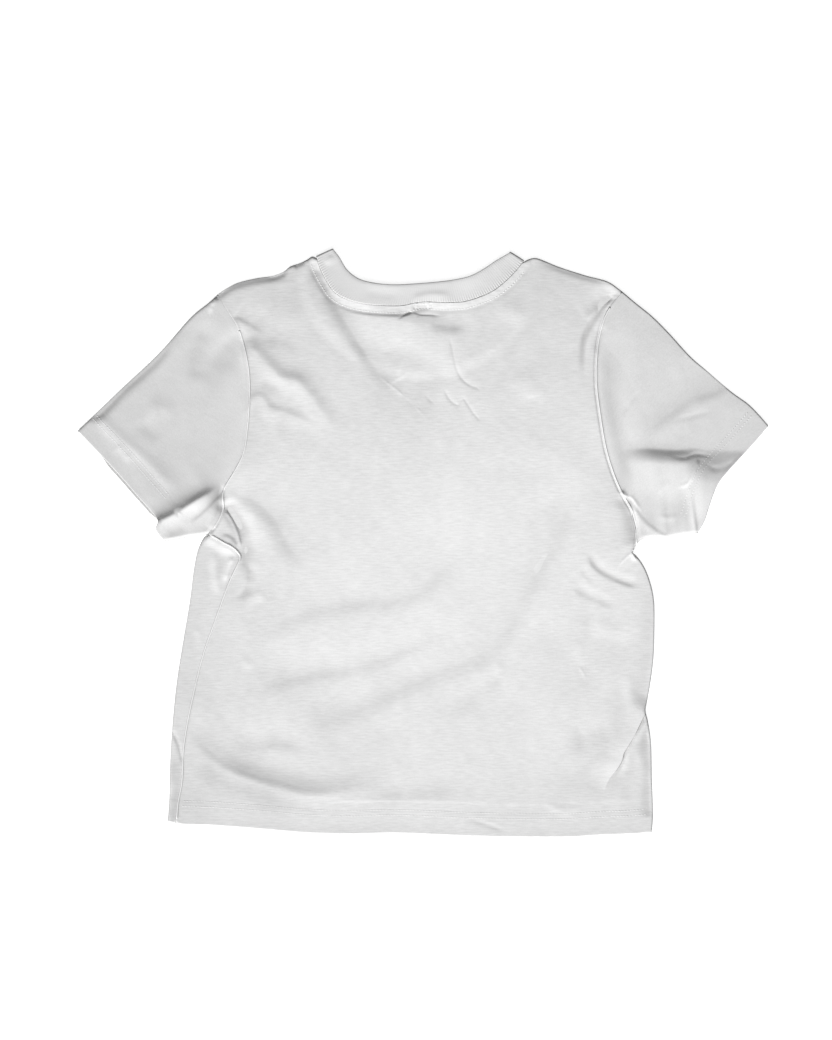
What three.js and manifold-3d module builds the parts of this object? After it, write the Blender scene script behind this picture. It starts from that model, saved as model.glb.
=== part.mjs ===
// Short-sleeved boxy t-shirt in cotton jersey, laid flat with its back upwards.
// Millimetres, +Z up, hem towards -Y. The origin is the centre of the footprint, on the surface it lies on.
//
// Every cut piece is a wall of cloth. Its plan is a patch stretched between four edge curves, and its
// height comes from one table of folds, so that neighbouring pieces meet at the same level at each seam.
import * as THREE from 'three';
import { mergeVertices } from 'three/addons/utils/BufferGeometryUtils.js';
import Module from 'manifold-3d';

const wasm = await Module();
wasm.setup();

// Driving sizes
const wall = 1.2;             // one layer of jersey
const seamGap = 0.3;          // clearance between pieces where they are sewn
const ribWall = 2.0;          // the neck rib is jersey folded double
const hemDepth = 21;          // turned-up hem at the waist and at the cuffs
const hemExtra = 0.8;         // what the second layer of a hem adds
const frontNeckDrop = 95;     // shoulder point of the neck down to the middle of the front neckline
const edgeRoll = 9;           // how far from the outline the upper layer comes down to the lower one
const hollowHeight = 3.4;     // most that the upper layer stands off the lower one
const stripRows = 18;         // cells of the side seam up which the rolled strip reaches

// Cells along each seam. Pieces that are sewn together share them, so that their edges run side by side.
const cells = { shoulder: 7, acrossNeck: 18, neck: 24, side: 19, armhole: 15, sleeve: 10, rib: 2 };
const stripCells = { across: 8, round: 4 };

// Edges of the garment. Each row is one level or one station of the laid-out shirt.

const leftSide = [            // fold: outline on the left. seam: side seam, rolled onto the upper side
  { y: -266, fold: -245, seam: -237 },
  { y: -229, fold: -243, seam: -232 },
  { y: -190, fold: -242, seam: -230 },
  { y: -148, fold: -239, seam: -221 },
  { y: -105, fold: -232, seam: -210 },
  { y: -65, fold: -225, seam: -196 },
  { y: -35, fold: -220, seam: -186 },
  { y: -15, fold: -218, seam: -177 },
  { y: -3, fold: -214, seam: -184 },
  { y: 4, fold: -210.5, seam: -195 },
  { y: 9, fold: -205, seam: -205 },
];

const rightSide = [
  { y: -277, edge: 220 },
  { y: -227, edge: 219 },
  { y: -190, edge: 218 },
  { y: -160, edge: 214 },
  { y: -120, edge: 219 },
  { y: -88, edge: 222 },
  { y: -55, edge: 221 },
  { y: -33, edge: 217 },
  { y: -18, edge: 209 },
  { y: -8, edge: 201 },
];

const leftArmhole = [
  { y: 9, x: -205 },
  { y: 31, x: -192 },
  { y: 58, x: -183 },
  { y: 86, x: -173 },
  { y: 124, x: -168 },
  { y: 158, x: -167 },
  { y: 196, x: -174 },
  { y: 222, x: -186 },
  { y: 239, x: -197 },
];

const rightArmhole = [
  { y: -8, x: 201 },
  { y: 14, x: 204 },
  { y: 31, x: 200 },
  { y: 57, x: 186 },
  { y: 86, x: 176 },
  { y: 124, x: 169 },
  { y: 158, x: 165 },
  { y: 196, x: 168 },
  { y: 222, x: 177 },
  { y: 242, x: 191 },
];

const hemLine = [
  { x: -181, y: -271.5 },
  { x: -69, y: -278 },
  { x: -10, y: -278 },
  { x: 68, y: -281 },
  { x: 142, y: -281.6 },
  { x: 198, y: -279 },
];

const leftShoulder = [
  { x: -197, y: 239 },
  { x: -178, y: 250 },
  { x: -143, y: 257 },
  { x: -127, y: 266 },
  { x: -116, y: 270 },
  { x: -102, y: 274 },
];

const rightShoulder = [
  { x: 96, y: 270 },
  { x: 109, y: 274 },
  { x: 129, y: 266 },
  { x: 155, y: 257.5 },
  { x: 178, y: 251 },
  { x: 191, y: 242 },
];

const backNeckSeam = [
  { x: -102, y: 274 },
  { x: -92, y: 251 },
  { x: -73, y: 234 },
  { x: -38, y: 228 },
  { x: -10, y: 229 },
  { x: 21, y: 231 },
  { x: 51, y: 235 },
  { x: 81, y: 253 },
  { x: 96, y: 270 },
];

const backNeckEdge = [
  { x: -85.5, y: 281.6 },
  { x: -73, y: 263 },
  { x: -45, y: 250 },
  { x: -12, y: 249 },
  { x: 29, y: 253 },
  { x: 59, y: 264 },
  { x: 82.5, y: 278.5 },
];

const leftSleeve = {
  top: [
    { x: -197, y: 239 },
    { x: -221, y: 219 },
    { x: -261, y: 175 },
    { x: -289, y: 148 },
    { x: -331.7, y: 108 },
  ],
  cuff: [
    { x: -331.7, y: 108 },
    { x: -300, y: 75 },
    { x: -276, y: 48 },
    { x: -256, y: 20 },
    { x: -247, y: 1.5 },
  ],
  underarm: [
    { x: -205, y: 9 },
    { x: -224, y: 6 },
    { x: -247, y: 1.5 },
  ],
};

const rightSleeve = {
  top: [
    { x: 191, y: 242 },
    { x: 220, y: 219 },
    { x: 261, y: 175 },
    { x: 293, y: 147 },
    { x: 331.7, y: 113 },
  ],
  cuff: [
    { x: 331.7, y: 113 },
    { x: 300, y: 75 },
    { x: 278, y: 47 },
    { x: 272, y: 30 },
    { x: 264, y: 10 },
  ],
  underarm: [
    { x: 201, y: -8 },
    { x: 214, y: 4 },
    { x: 228, y: 5 },
    { x: 264, y: 10 },
  ],
};

// Folds of the upper layer: a ridge has a positive rise, a trough a negative one.
// reach is the half-width over which a fold fades out, and a bow is how far its middle stands off the
// straight line between its ends, to the left as it is walked.
const folds = [
  { name: 'neck_to_chest', from: [-90, 245], to: [-30, 152], bow: -8, reach: 15, rise: 2.2 },
  { name: 'left_shoulder_trough', from: [-178, 212], to: [-84, 120], bow: -4, reach: 11, rise: -2.4 },
  { name: 'left_chest_trough', from: [-165, 137], to: [-105, 116], bow: -2, reach: 9, rise: -1.4 },
  { name: 'left_armpit_trough', from: [-183, 50], to: [-104, -36], bow: 10, reach: 12, rise: -2.6 },
  { name: 'left_armpit_ridge', from: [-186, 42], to: [-172, -42], bow: 9, reach: 9, rise: 3.2 },
  { name: 'belly_trough_high', from: [-160, -88], to: [50, -6], bow: -20, reach: 13, rise: -1.5 },
  { name: 'belly_trough_middle', from: [-156, -144], to: [36, -78], bow: -12, reach: 12, rise: -1.6 },
  { name: 'belly_trough_low', from: [-118, -182], to: [86, -88], bow: -9, reach: 13, rise: -1.7 },
  { name: 'right_side_trough', from: [82, -94], to: [176, 80], bow: -8, reach: 17, rise: -1.8 },
  { name: 'belly_swell', from: [-20, -150], to: [120, -60], bow: -12, reach: 26, rise: 0.9 },
  { name: 'hem_corner_swell', from: [-212, -168], to: [-50, -222], bow: -20, reach: 15, rise: 1.8 },
  { name: 'hem_corner_trough', from: [-222, -192], to: [-40, -246], bow: -18, reach: 11, rise: -1.6 },
  { name: 'right_armpit_ridge', from: [160, -8], to: [202, -36], bow: -13, reach: 8, rise: 2.6 },
  { name: 'right_armpit_trough', from: [154, -40], to: [196, -62], bow: -4, reach: 9, rise: -1.4 },
  { name: 'right_hem_tuck', from: [206, -166], to: [170, -236], bow: 6, reach: 9, rise: 1.8 },
  { name: 'right_shoulder_trough', from: [188, 238], to: [160, 188], bow: 4, reach: 8, rise: -1.6 },
  { name: 'right_chest_swell', from: [130, 226], to: [120, 120], bow: 4, reach: 24, rise: 0.8 },
  { name: 'left_sleeve_swell', from: [-200, 62], to: [-264, 36], bow: 2, reach: 14, rise: 2.6 },
  { name: 'left_sleeve_trough', from: [-196, 54], to: [-256, 22], bow: -1, reach: 8, rise: -3.4 },
  { name: 'left_sleeve_puff', from: [-206, 170], to: [-262, 96], bow: 0, reach: 30, rise: 1.0 },
  { name: 'right_sleeve_swell', from: [214, 98], to: [312, 104], bow: 2, reach: 12, rise: 3.0 },
  { name: 'right_sleeve_trough', from: [204, 76], to: [308, 84], bow: 1, reach: 9, rise: -3.2 },
  { name: 'right_sleeve_puff', from: [212, 176], to: [262, 130], bow: 0, reach: 26, rise: 1.0 },
  { name: 'right_sleeve_low_swell', from: [218, 52], to: [262, 42], bow: 0, reach: 16, rise: 1.6 },
];

const bodySwell = { x: 0, y: -10, across: 250, along: 300, rise: 1.9 };

// Curves and patches

const curveThrough = (rows, key = 'x') =>
  new THREE.CatmullRomCurve3(rows.map((row) => new THREE.Vector3(row[key], row.y, 0)), false, 'centripetal');

// A point of a curve, moved off it to the left as it is walked (to the right for a negative gap)
function beside(curve, u, gap) {
  const tangent = curve.getTangentAt(u);
  return curve.getPointAt(u).add(new THREE.Vector3(-tangent.y, tangent.x, 0).multiplyScalar(gap));
}

// Several curves end to end, each given its number of steps out of the total.
function chain(...parts) {
  const total = parts.reduce((sum, part) => sum + part.steps, 0);
  return (u) => {
    let station = u * total;
    for (const part of parts) {
      if (station <= part.steps + 1e-9) {
        return part.curve.getPointAt(THREE.MathUtils.clamp(station / part.steps, 0, 1));
      }
      station -= part.steps;
    }
    return parts.at(-1).curve.getPointAt(1);
  };
}

// A patch between four edges: s runs along bottom and top, t along left and right.
function patchBetween(bottom, top, left, right) {
  return (s, t) => {
    const point = new THREE.Vector3();
    const corners = [
      [bottom(0), -(1 - s) * (1 - t)],
      [bottom(1), -s * (1 - t)],
      [top(0), -(1 - s) * t],
      [top(1), -s * t],
    ];
    for (const [corner, weight] of corners) point.addScaledVector(corner, weight);
    point.addScaledVector(bottom(s), 1 - t).addScaledVector(top(s), t);
    return point.addScaledVector(left(t), 1 - s).addScaledVector(right(t), s);
  };
}

const hemCorner = (rows, key) => ({ x: rows[0][key], y: rows[0].y });
const hemFrom = (key) => curveThrough([hemCorner(leftSide, key), ...hemLine, hemCorner(rightSide, 'edge')]);

const frontHemCurve = hemFrom('fold');
const backHemCurve = hemFrom('seam');
const foldCurve = curveThrough(leftSide, 'fold');
const sideSeamCurve = curveThrough(leftSide, 'seam');
const rightSideCurve = curveThrough(rightSide, 'edge');
const leftArmholeCurve = curveThrough(leftArmhole);
const rightArmholeCurve = curveThrough(rightArmhole);
const leftShoulderCurve = curveThrough(leftShoulder);
const rightShoulderCurve = curveThrough(rightShoulder);
const backNeckCurve = curveThrough(backNeckSeam);
const backEdgeCurve = curveThrough(backNeckEdge);

// The front neckline starts and ends at the shoulders like the back one, and is scooped deeper.
function scoopedCurve(start, end, drop) {
  const stations = 12;
  const middle = new THREE.Vector3().addVectors(start, end).multiplyScalar(0.5);
  const halfWidth = start.distanceTo(end) / 2;
  const points = [];
  for (let i = 0; i <= stations; i++) {
    const angle = (Math.PI * i) / stations;
    const narrowing = 1 - 0.1 * Math.sin(angle) ** 2;
    const level = THREE.MathUtils.lerp(start.y, end.y, i / stations);
    const x = middle.x - Math.cos(angle) * halfWidth * narrowing;
    points.push(new THREE.Vector3(x, level - drop * Math.sin(angle) ** 0.85, 0));
  }
  return new THREE.CatmullRomCurve3(points, false, 'centripetal');
}

const ribWidth = backEdgeCurve.getPointAt(0.5).y - backNeckCurve.getPointAt(0.5).y;
const tipRise = backEdgeCurve.getPoint(0).y - backNeckCurve.getPoint(0).y;
const frontNeckCurve = scoopedCurve(backNeckCurve.getPoint(0), backNeckCurve.getPoint(1), frontNeckDrop);
const frontEdgeCurve = scoopedCurve(backEdgeCurve.getPoint(0), backEdgeCurve.getPoint(1),
  frontNeckDrop - ribWidth + tipRise);

// Height of the cloth

const pointsOf = (...curves) => curves.flatMap((curve) => curve.getSpacedPoints(60));
const sleeveEdges = [leftSleeve, rightSleeve].flatMap(({ top, cuff, underarm }) => [top, cuff, underarm]);
const outlinePoints = pointsOf(
  frontHemCurve, foldCurve, rightSideCurve, leftShoulderCurve, rightShoulderCurve, backEdgeCurve,
  ...sleeveEdges.map((edge) => curveThrough(edge)),
);
const turnedUpPoints = pointsOf(frontHemCurve, curveThrough(leftSleeve.cuff), curveThrough(rightSleeve.cuff));
const frontRibPoints = pointsOf(frontNeckCurve, frontEdgeCurve);

const distanceTo = (points, x, y) => Math.min(...points.map((point) => Math.hypot(point.x - x, point.y - y)));

function foldRise(fold, x, y) {
  const [x0, y0] = fold.from;
  const [x1, y1] = fold.to;
  const length = Math.hypot(x1 - x0, y1 - y0);
  const along = ((x - x0) * (x1 - x0) + (y - y0) * (y1 - y0)) / length ** 2;
  const inside = THREE.MathUtils.clamp(along, 0, 1);
  const bowHere = fold.bow * Math.sin(Math.PI * inside);
  const across = ((x - x0) * (y0 - y1) + (y - y0) * (x1 - x0)) / length - bowHere;
  const beyond = (along - inside) * length;
  const away = Math.hypot(across, beyond) / fold.reach;
  const taper = 0.35 + 0.65 * Math.sin(Math.PI * inside);
  return fold.rise * taper * Math.exp(-(away ** 2));
}

// How far the upper layer stands up from where it would lie pressed flat
function standOff(x, y) {
  const away = Math.hypot((x - bodySwell.x) / bodySwell.across, (y - bodySwell.y) / bodySwell.along);
  const swell = bodySwell.rise * Math.max(0, 1 - away ** 4);
  const raised = folds.reduce((sum, fold) => sum + foldRise(fold, x, y), swell);
  const neverSunk = 0.5 * (raised + Math.hypot(raised, 0.6));
  const heldDown = 1 - Math.exp(-((distanceTo(outlinePoints, x, y) / edgeRoll) ** 2));
  return heldDown * hollowHeight * Math.tanh(neverSunk / hollowHeight);
}

// A hem is two layers up to its stitching. The upper side clears it with a cell to spare.
function hemShare(x, y, slack = 0) {
  const depth = hemDepth + slack;
  return 1 - THREE.MathUtils.smoothstep(distanceTo(turnedUpPoints, x, y), depth - 2, depth + 10);
}

const thicknessAt = (x, y) => wall + hemExtra * hemShare(x, y);

function upperUnderside(x, y) {
  const toRib = distanceTo(frontRibPoints, x, y);
  const overRib = 1 - THREE.MathUtils.smoothstep(toRib, ribWidth, 2 * ribWidth);
  const overHem = wall + hemExtra * hemShare(x, y, 4);
  return Math.max(overHem, THREE.MathUtils.lerp(wall, ribWall, overRib)) + seamGap + standOff(x, y);
}

const at = (point, z) => new THREE.Vector3(point.x, point.y, z);
const topOf = (point) => upperUnderside(point.x, point.y) + thicknessAt(point.x, point.y);

const upperWall = (point) => ({
  outer: at(point, topOf(point)),
  inner: at(point, upperUnderside(point.x, point.y)),
});

const lowerWall = (point) => ({ outer: at(point, 0), inner: at(point, thicknessAt(point.x, point.y)) });

// Solids

// A closed wall from a grid of { outer, inner } points. A ring joins its last column to its first.
function wallGeometry(columns, rows, surface, ring = false) {
  const across = ring ? columns : columns + 1;
  const positions = [];
  const indices = [];
  for (let j = 0; j <= rows; j++) {
    for (let i = 0; i < across; i++) {
      const { outer, inner } = surface(i / columns, j / rows);
      positions.push(...outer.toArray(), ...inner.toArray());
    }
  }
  const outerAt = (i, j) => 2 * (j * across + (ring ? i % columns : i));
  const quad = (a, b, c, d) => indices.push(a, b, c, a, c, d);
  for (let j = 0; j < rows; j++) {
    for (let i = 0; i < columns; i++) {
      const [a, b, c, d] = [outerAt(i, j), outerAt(i + 1, j), outerAt(i + 1, j + 1), outerAt(i, j + 1)];
      quad(a, b, c, d);
      quad(a + 1, d + 1, c + 1, b + 1);
    }
  }
  for (let i = 0; i < columns; i++) {
    quad(outerAt(i, 0), outerAt(i, 0) + 1, outerAt(i + 1, 0) + 1, outerAt(i + 1, 0));
    quad(outerAt(i, rows), outerAt(i + 1, rows), outerAt(i + 1, rows) + 1, outerAt(i, rows) + 1);
  }
  for (let j = 0; j < rows && !ring; j++) {
    quad(outerAt(0, j), outerAt(0, j + 1), outerAt(0, j + 1) + 1, outerAt(0, j) + 1);
    quad(outerAt(columns, j), outerAt(columns, j) + 1, outerAt(columns, j + 1) + 1, outerAt(columns, j + 1));
  }
  const geometry = new THREE.BufferGeometry();
  geometry.setAttribute('position', new THREE.Float32BufferAttribute(positions, 3));
  geometry.setIndex(indices);
  return facingOut(geometry);
}

function signedVolume(geometry) {
  const position = geometry.getAttribute('position');
  const [a, b, c] = [0, 1, 2].map(() => new THREE.Vector3());
  let volume = 0;
  for (let i = 0; i < geometry.index.count; i += 3) {
    a.fromBufferAttribute(position, geometry.index.getX(i));
    b.fromBufferAttribute(position, geometry.index.getX(i + 1));
    c.fromBufferAttribute(position, geometry.index.getX(i + 2));
    volume += a.dot(b.cross(c)) / 6;
  }
  return volume;
}

function facingOut(geometry) {
  if (signedVolume(geometry) < 0) {
    const index = geometry.index.array;
    for (let i = 0; i < index.length; i += 3) [index[i], index[i + 1]] = [index[i + 1], index[i]];
  }
  return geometry;
}

const toManifold = (geometry) => new wasm.Manifold(new wasm.Mesh({
  numProp: 3,
  vertProperties: new Float32Array(geometry.getAttribute('position').array),
  triVerts: new Uint32Array(geometry.index.array),
}));

function fromManifold(solid) {
  const mesh = solid.getMesh();
  const geometry = new THREE.BufferGeometry();
  geometry.setAttribute('position', new THREE.Float32BufferAttribute(mesh.vertProperties, mesh.numProp));
  geometry.setIndex([...mesh.triVerts]);
  return geometry;
}

// Pieces

// What is cut away at the neck: the neckline, closed well above the shoulders
function neckCut(neck) {
  const clearAbove = 30;
  const height = 20;
  const stations = Array.from({ length: cells.neck + 1 }, (_, i) => neck.getPointAt(i / cells.neck));
  const [start, end] = [stations[0], stations.at(-1)];
  const outline = new THREE.Shape([
    ...stations.map((point) => new THREE.Vector2(point.x, point.y)),
    new THREE.Vector2(end.x, end.y + clearAbove),
    new THREE.Vector2(start.x, start.y + clearAbove),
  ]);
  const solid = new THREE.ExtrudeGeometry(outline, { depth: height, bevelEnabled: false });
  solid.translate(0, 0, -height / 2);
  solid.deleteAttribute('normal');
  solid.deleteAttribute('uv');
  return mergeVertices(solid);
}

// A front or a back: its hem below, shoulders and neckline above, side seam and armhole on each side
function panelSolid(hem, leftEdge, neck, wallAt) {
  const acrossNeck = new THREE.LineCurve3(neck.getPoint(0), neck.getPoint(1));
  const top = chain(
    { curve: leftShoulderCurve, steps: cells.shoulder },
    { curve: acrossNeck, steps: cells.acrossNeck },
    { curve: rightShoulderCurve, steps: cells.shoulder },
  );
  const upTo = (edge, armhole) => chain(
    { curve: edge, steps: cells.side },
    { curve: armhole, steps: cells.armhole },
  );
  const left = upTo(leftEdge, leftArmholeCurve);
  const right = upTo(rightSideCurve, rightArmholeCurve);
  const patch = patchBetween((s) => hem.getPointAt(s), top, left, right);
  const columns = 2 * cells.shoulder + cells.acrossNeck;
  const whole = wallGeometry(columns, cells.side + cells.armhole, (s, t) => wallAt(patch(s, t)));
  return toManifold(whole).subtract(toManifold(neckCut(neck)));
}

const backPanel = () => fromManifold(panelSolid(backHemCurve, sideSeamCurve, backNeckCurve, upperWall));

// The strip of the front that rolls round the left side, from under the fold up to the side seam
function rolledStrip() {
  const foot = 6;                  // how far it runs on under the fold
  const footTop = 0.9 * wall;
  const bendClearance = 0.4;
  return wallGeometry(stripCells.across, stripRows, (s, t) => {
    const station = Math.round(s * stripCells.across);
    const share = (t * stripRows) / cells.side;
    const fold = foldCurve.getPointAt(share);
    const bendEnd = fold.clone().setX(fold.x + wall + bendClearance);
    if (station > stripCells.round) {
      const beyond = (station - stripCells.round) / (stripCells.across - stripCells.round);
      return upperWall(bendEnd.lerp(beside(sideSeamCurve, share, seamGap), beyond));
    }
    if (station === 0) {
      const footEnd = fold.clone().setX(fold.x + foot);
      return { outer: footEnd, inner: at(footEnd, footTop) };
    }
    const turn = (Math.PI * station) / stripCells.round;
    const hollow = 1 - Math.sin(turn);
    const rise = (1 - Math.cos(turn)) / 2;
    const top = upperWall(bendEnd);
    const innerHeight = THREE.MathUtils.lerp(footTop, top.inner.z, rise);
    return {
      outer: new THREE.Vector3(fold.x + hollow * wall, fold.y, top.outer.z * rise),
      inner: new THREE.Vector3(fold.x + wall + hollow * bendClearance, fold.y, innerHeight),
    };
  });
}

function frontPanel() {
  const lower = panelSolid(frontHemCurve, foldCurve, frontNeckCurve, lowerWall);
  return fromManifold(lower.add(toManifold(rolledStrip())));
}

// A sleeve is one piece folded along its top edge and closed by the underarm seam: a flattened tube.
function sleeve(edges, armhole, gap) {
  const [top, cuff, underarm] = [edges.top, edges.cuff, edges.underarm].map((edge) => curveThrough(edge));
  const sewnTop = beside(armhole, 1, gap).sub(armhole.getPointAt(1));
  const sewnUnderarm = beside(armhole, 0, gap).sub(armhole.getPointAt(0));
  const patch = patchBetween(
    (s) => beside(armhole, 1 - s, gap),
    (s) => cuff.getPointAt(s),
    (t) => top.getPointAt(t).addScaledVector(sewnTop, 1 - t),
    (t) => underarm.getPointAt(t).addScaledVector(sewnUnderarm, 1 - t),
  );
  const across = cells.armhole;
  return wallGeometry(2 * across, cells.sleeve, (u, t) => {
    const station = Math.round(u * 2 * across);
    const upper = station <= across;
    const s = upper ? station / across : 2 - station / across;
    const point = patch(s, t);
    if (s > 0 && s < 1) return upper ? upperWall(point) : lowerWall(point);
    const inside = patch(s === 0 ? 1 / across : 1 - 1 / across, t);
    const inward = inside.sub(point).setLength(wall);
    const middle = topOf(point) / 2;
    return { outer: at(point, middle), inner: at(point.clone().add(inward), middle) };
  }, true);
}

// The rib is a ring. Its front half lies on the surface, and at the shoulders its back half lies on that.
function neckRib() {
  const lift = ribWall + seamGap;
  const foldLevel = 0.9 * ribWall;
  return wallGeometry(2 * cells.neck, cells.rib, (u, t) => {
    const station = Math.round(u * 2 * cells.neck);
    const back = station <= cells.neck;
    const s = back ? station / cells.neck : 2 - station / cells.neck;
    const [neck, edge] = back ? [backNeckCurve, backEdgeCurve] : [frontNeckCurve, frontEdgeCurve];
    const sewn = beside(neck, s, seamGap);
    const point = sewn.clone().lerp(edge.getPointAt(s), t);
    const atSeam = upperUnderside(sewn.x, sewn.y);
    const underside = THREE.MathUtils.lerp(Math.max(atSeam, lift), lift, t);
    if (s === 0 || s === 1) {
      const inward = new THREE.Vector3(s === 0 ? ribWall : -ribWall, -ribWall, 0);
      return { outer: at(point, foldLevel), inner: at(point.clone().add(inward), foldLevel) };
    }
    if (back) return { outer: at(point, underside + ribWall), inner: at(point, underside) };
    return { outer: at(point, 0), inner: at(point, ribWall) };
  }, true);
}

const jersey = { color: 0xe8e9e8, roughness: 0.92, metalness: 0 };
const rib = { color: 0xe2e3e2, roughness: 0.95, metalness: 0 };

const tShirt = new THREE.Group();
const pieces = [
  { name: 'back_panel', geometry: backPanel(), finish: jersey },
  { name: 'front_panel', geometry: frontPanel(), finish: jersey },
  { name: 'left_sleeve', geometry: sleeve(leftSleeve, leftArmholeCurve, seamGap), finish: jersey },
  { name: 'right_sleeve', geometry: sleeve(rightSleeve, rightArmholeCurve, -seamGap), finish: jersey },
  { name: 'neck_rib', geometry: neckRib(), finish: rib },
];
for (const { name, geometry, finish } of pieces) {
  const mesh = new THREE.Mesh(geometry, new THREE.MeshStandardMaterial(finish));
  mesh.name = name;
  tShirt.add(mesh);
}

export default tShirt;
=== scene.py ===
import math

import bpy
import numpy as np
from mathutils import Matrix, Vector, geometry


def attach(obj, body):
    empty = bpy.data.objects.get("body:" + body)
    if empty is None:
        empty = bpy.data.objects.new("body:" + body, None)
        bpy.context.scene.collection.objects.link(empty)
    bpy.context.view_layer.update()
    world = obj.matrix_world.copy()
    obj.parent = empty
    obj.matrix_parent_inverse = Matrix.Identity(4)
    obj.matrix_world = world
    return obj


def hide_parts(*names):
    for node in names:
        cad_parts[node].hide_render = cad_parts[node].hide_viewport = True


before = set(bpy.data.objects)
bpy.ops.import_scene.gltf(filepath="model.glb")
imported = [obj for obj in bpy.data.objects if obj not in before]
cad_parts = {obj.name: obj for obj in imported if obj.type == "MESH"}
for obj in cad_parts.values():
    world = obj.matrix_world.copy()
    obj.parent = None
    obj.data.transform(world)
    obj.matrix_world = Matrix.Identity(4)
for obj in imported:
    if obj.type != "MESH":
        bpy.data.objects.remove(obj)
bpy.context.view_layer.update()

mm = 0.001                    # shapes below are in millimetres, objects in metres
scene = bpy.context.scene
scene.view_settings.view_transform = "Standard"
print("frame loaded")

studio = dict(
    lens=85, longSide=998.4, aim=(-6.7, 22.6),                          # straight above, mm
    floorSize=6, floorDown=0.2, floorColour=(0.8, 0.8, 0.8), floorRoughness=0.9, floorGlow=0.8,
    room=0.08,
    window=dict(strength=4.25, height=27, bearing=200, softness=10),    # bearing from +Y towards +X
    softbox=dict(at=(0.03, -0.05, 0.47), size=0.34, power=0.83),        # metres, watts
)
white = (1, 1, 1)


def place(name, data):
    thing = bpy.data.objects.new(name, data)
    scene.collection.objects.link(thing)
    return thing


def setInputs(node, values):
    for label, value in values.items():
        node.inputs[label].default_value = (*value, 1) if isinstance(value, tuple) else value


def mathNode(tree, operation, first, second=None):
    node = tree.nodes.new("ShaderNodeMath")
    node.operation = operation
    for socket, value in zip(node.inputs, (first, second)):
        if isinstance(value, bpy.types.NodeSocket):
            tree.links.new(value, socket)
        elif value is not None:
            socket.default_value = value
    return node.outputs[0]


def makeStudio():
    camera = place("camera", bpy.data.cameras.new("camera"))
    camera.data.lens = studio["lens"]
    height = studio["longSide"] * mm * studio["lens"] / camera.data.sensor_width
    camera.location = (studio["aim"][0] * mm, studio["aim"][1] * mm, height)
    scene.camera = camera

    bpy.ops.mesh.primitive_plane_add(size=studio["floorSize"], location=(0, 0, -studio["floorDown"] * mm))
    floor = bpy.context.object
    floor.name = "floor"
    paper = bpy.data.materials.new("floorPaper")
    paper.use_nodes = True
    tree = paper.node_tree
    shader = tree.nodes["Principled BSDF"]
    setInputs(shader, {"Base Color": studio["floorColour"], "Roughness": studio["floorRoughness"],
                       "Emission Color": white})
    seen = tree.nodes.new("ShaderNodeLightPath")       # the paper looks white but throws little light back
    glow = mathNode(tree, "MULTIPLY", seen.outputs["Is Camera Ray"], studio["floorGlow"])
    tree.links.new(glow, shader.inputs["Emission Strength"])
    floor.data.materials.append(paper)

    sky = studio["window"]
    window = place("window", bpy.data.lights.new("window", "SUN"))
    window.data.energy = sky["strength"]
    window.data.angle = math.radians(sky["softness"])
    window.rotation_euler = (math.radians(sky["height"] - 90), 0, -math.radians(sky["bearing"]))

    box = studio["softbox"]
    softbox = place("softbox", bpy.data.lights.new("softbox", "AREA"))
    softbox.data.energy = box["power"]
    softbox.data.size = box["size"]
    softbox.location = box["at"]
    softbox.visible_camera = False

    world = bpy.data.worlds.new("softRoom")
    world.use_nodes = True
    setInputs(world.node_tree.nodes["Background"], {"Color": white, "Strength": studio["room"]})
    scene.world = world


makeStudio()
print("studio ready")

spanPoints = 12               # points on a curve between two that are given
stretch = 12                  # stretches of a line that are measured from together


def walkedAlong(path):
    return np.append(0, np.cumsum(np.hypot(*np.diff(path, axis=0).T)))


def pointsAt(path, walked, stops):
    return np.column_stack([np.interp(stops, walked, path[:, k]) for k in (0, 1)])


def evenCount(path, count):
    walked = walkedAlong(path)
    return pointsAt(path, walked, np.linspace(0, walked[-1], count))


def evenly(path, step):
    return evenCount(path, max(1, round(walkedAlong(path)[-1] / step)) + 1)


def smoothLine(points, step):
    # an even run of points along a smooth curve through the given ones
    p = np.array(points, float)
    ends = np.vstack([2 * p[0] - p[1], p, 2 * p[-1] - p[-2]])
    spans = []
    for a, b, c, d in zip(ends[:-3], ends[1:-2], ends[2:-1], ends[3:]):
        t1 = math.dist(a, b) ** 0.5
        t2 = t1 + math.dist(b, c) ** 0.5
        t3 = t2 + math.dist(c, d) ** 0.5
        t = np.linspace(t1, t2, spanPoints, endpoint=False)[:, None]
        ab = (t1 - t) / t1 * a + t / t1 * b
        bc = (t2 - t) / (t2 - t1) * b + (t - t1) / (t2 - t1) * c
        cd = (t3 - t) / (t3 - t2) * c + (t - t2) / (t3 - t2) * d
        abc = (t2 - t) / t2 * ab + t / t2 * bc
        bcd = (t3 - t) / (t3 - t1) * bc + (t - t1) / (t3 - t1) * cd
        spans.append((t2 - t) / (t2 - t1) * abc + (t - t1) / (t2 - t1) * bcd)
    return evenly(np.vstack(spans + [p[-1:]]), step)


def offset(path, distance):
    # the same line moved to its left
    way = np.gradient(path, axis=0)
    way /= np.hypot(*way.T)[:, None]
    return path + distance * np.column_stack([-way[:, 1], way[:, 0]])


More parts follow.
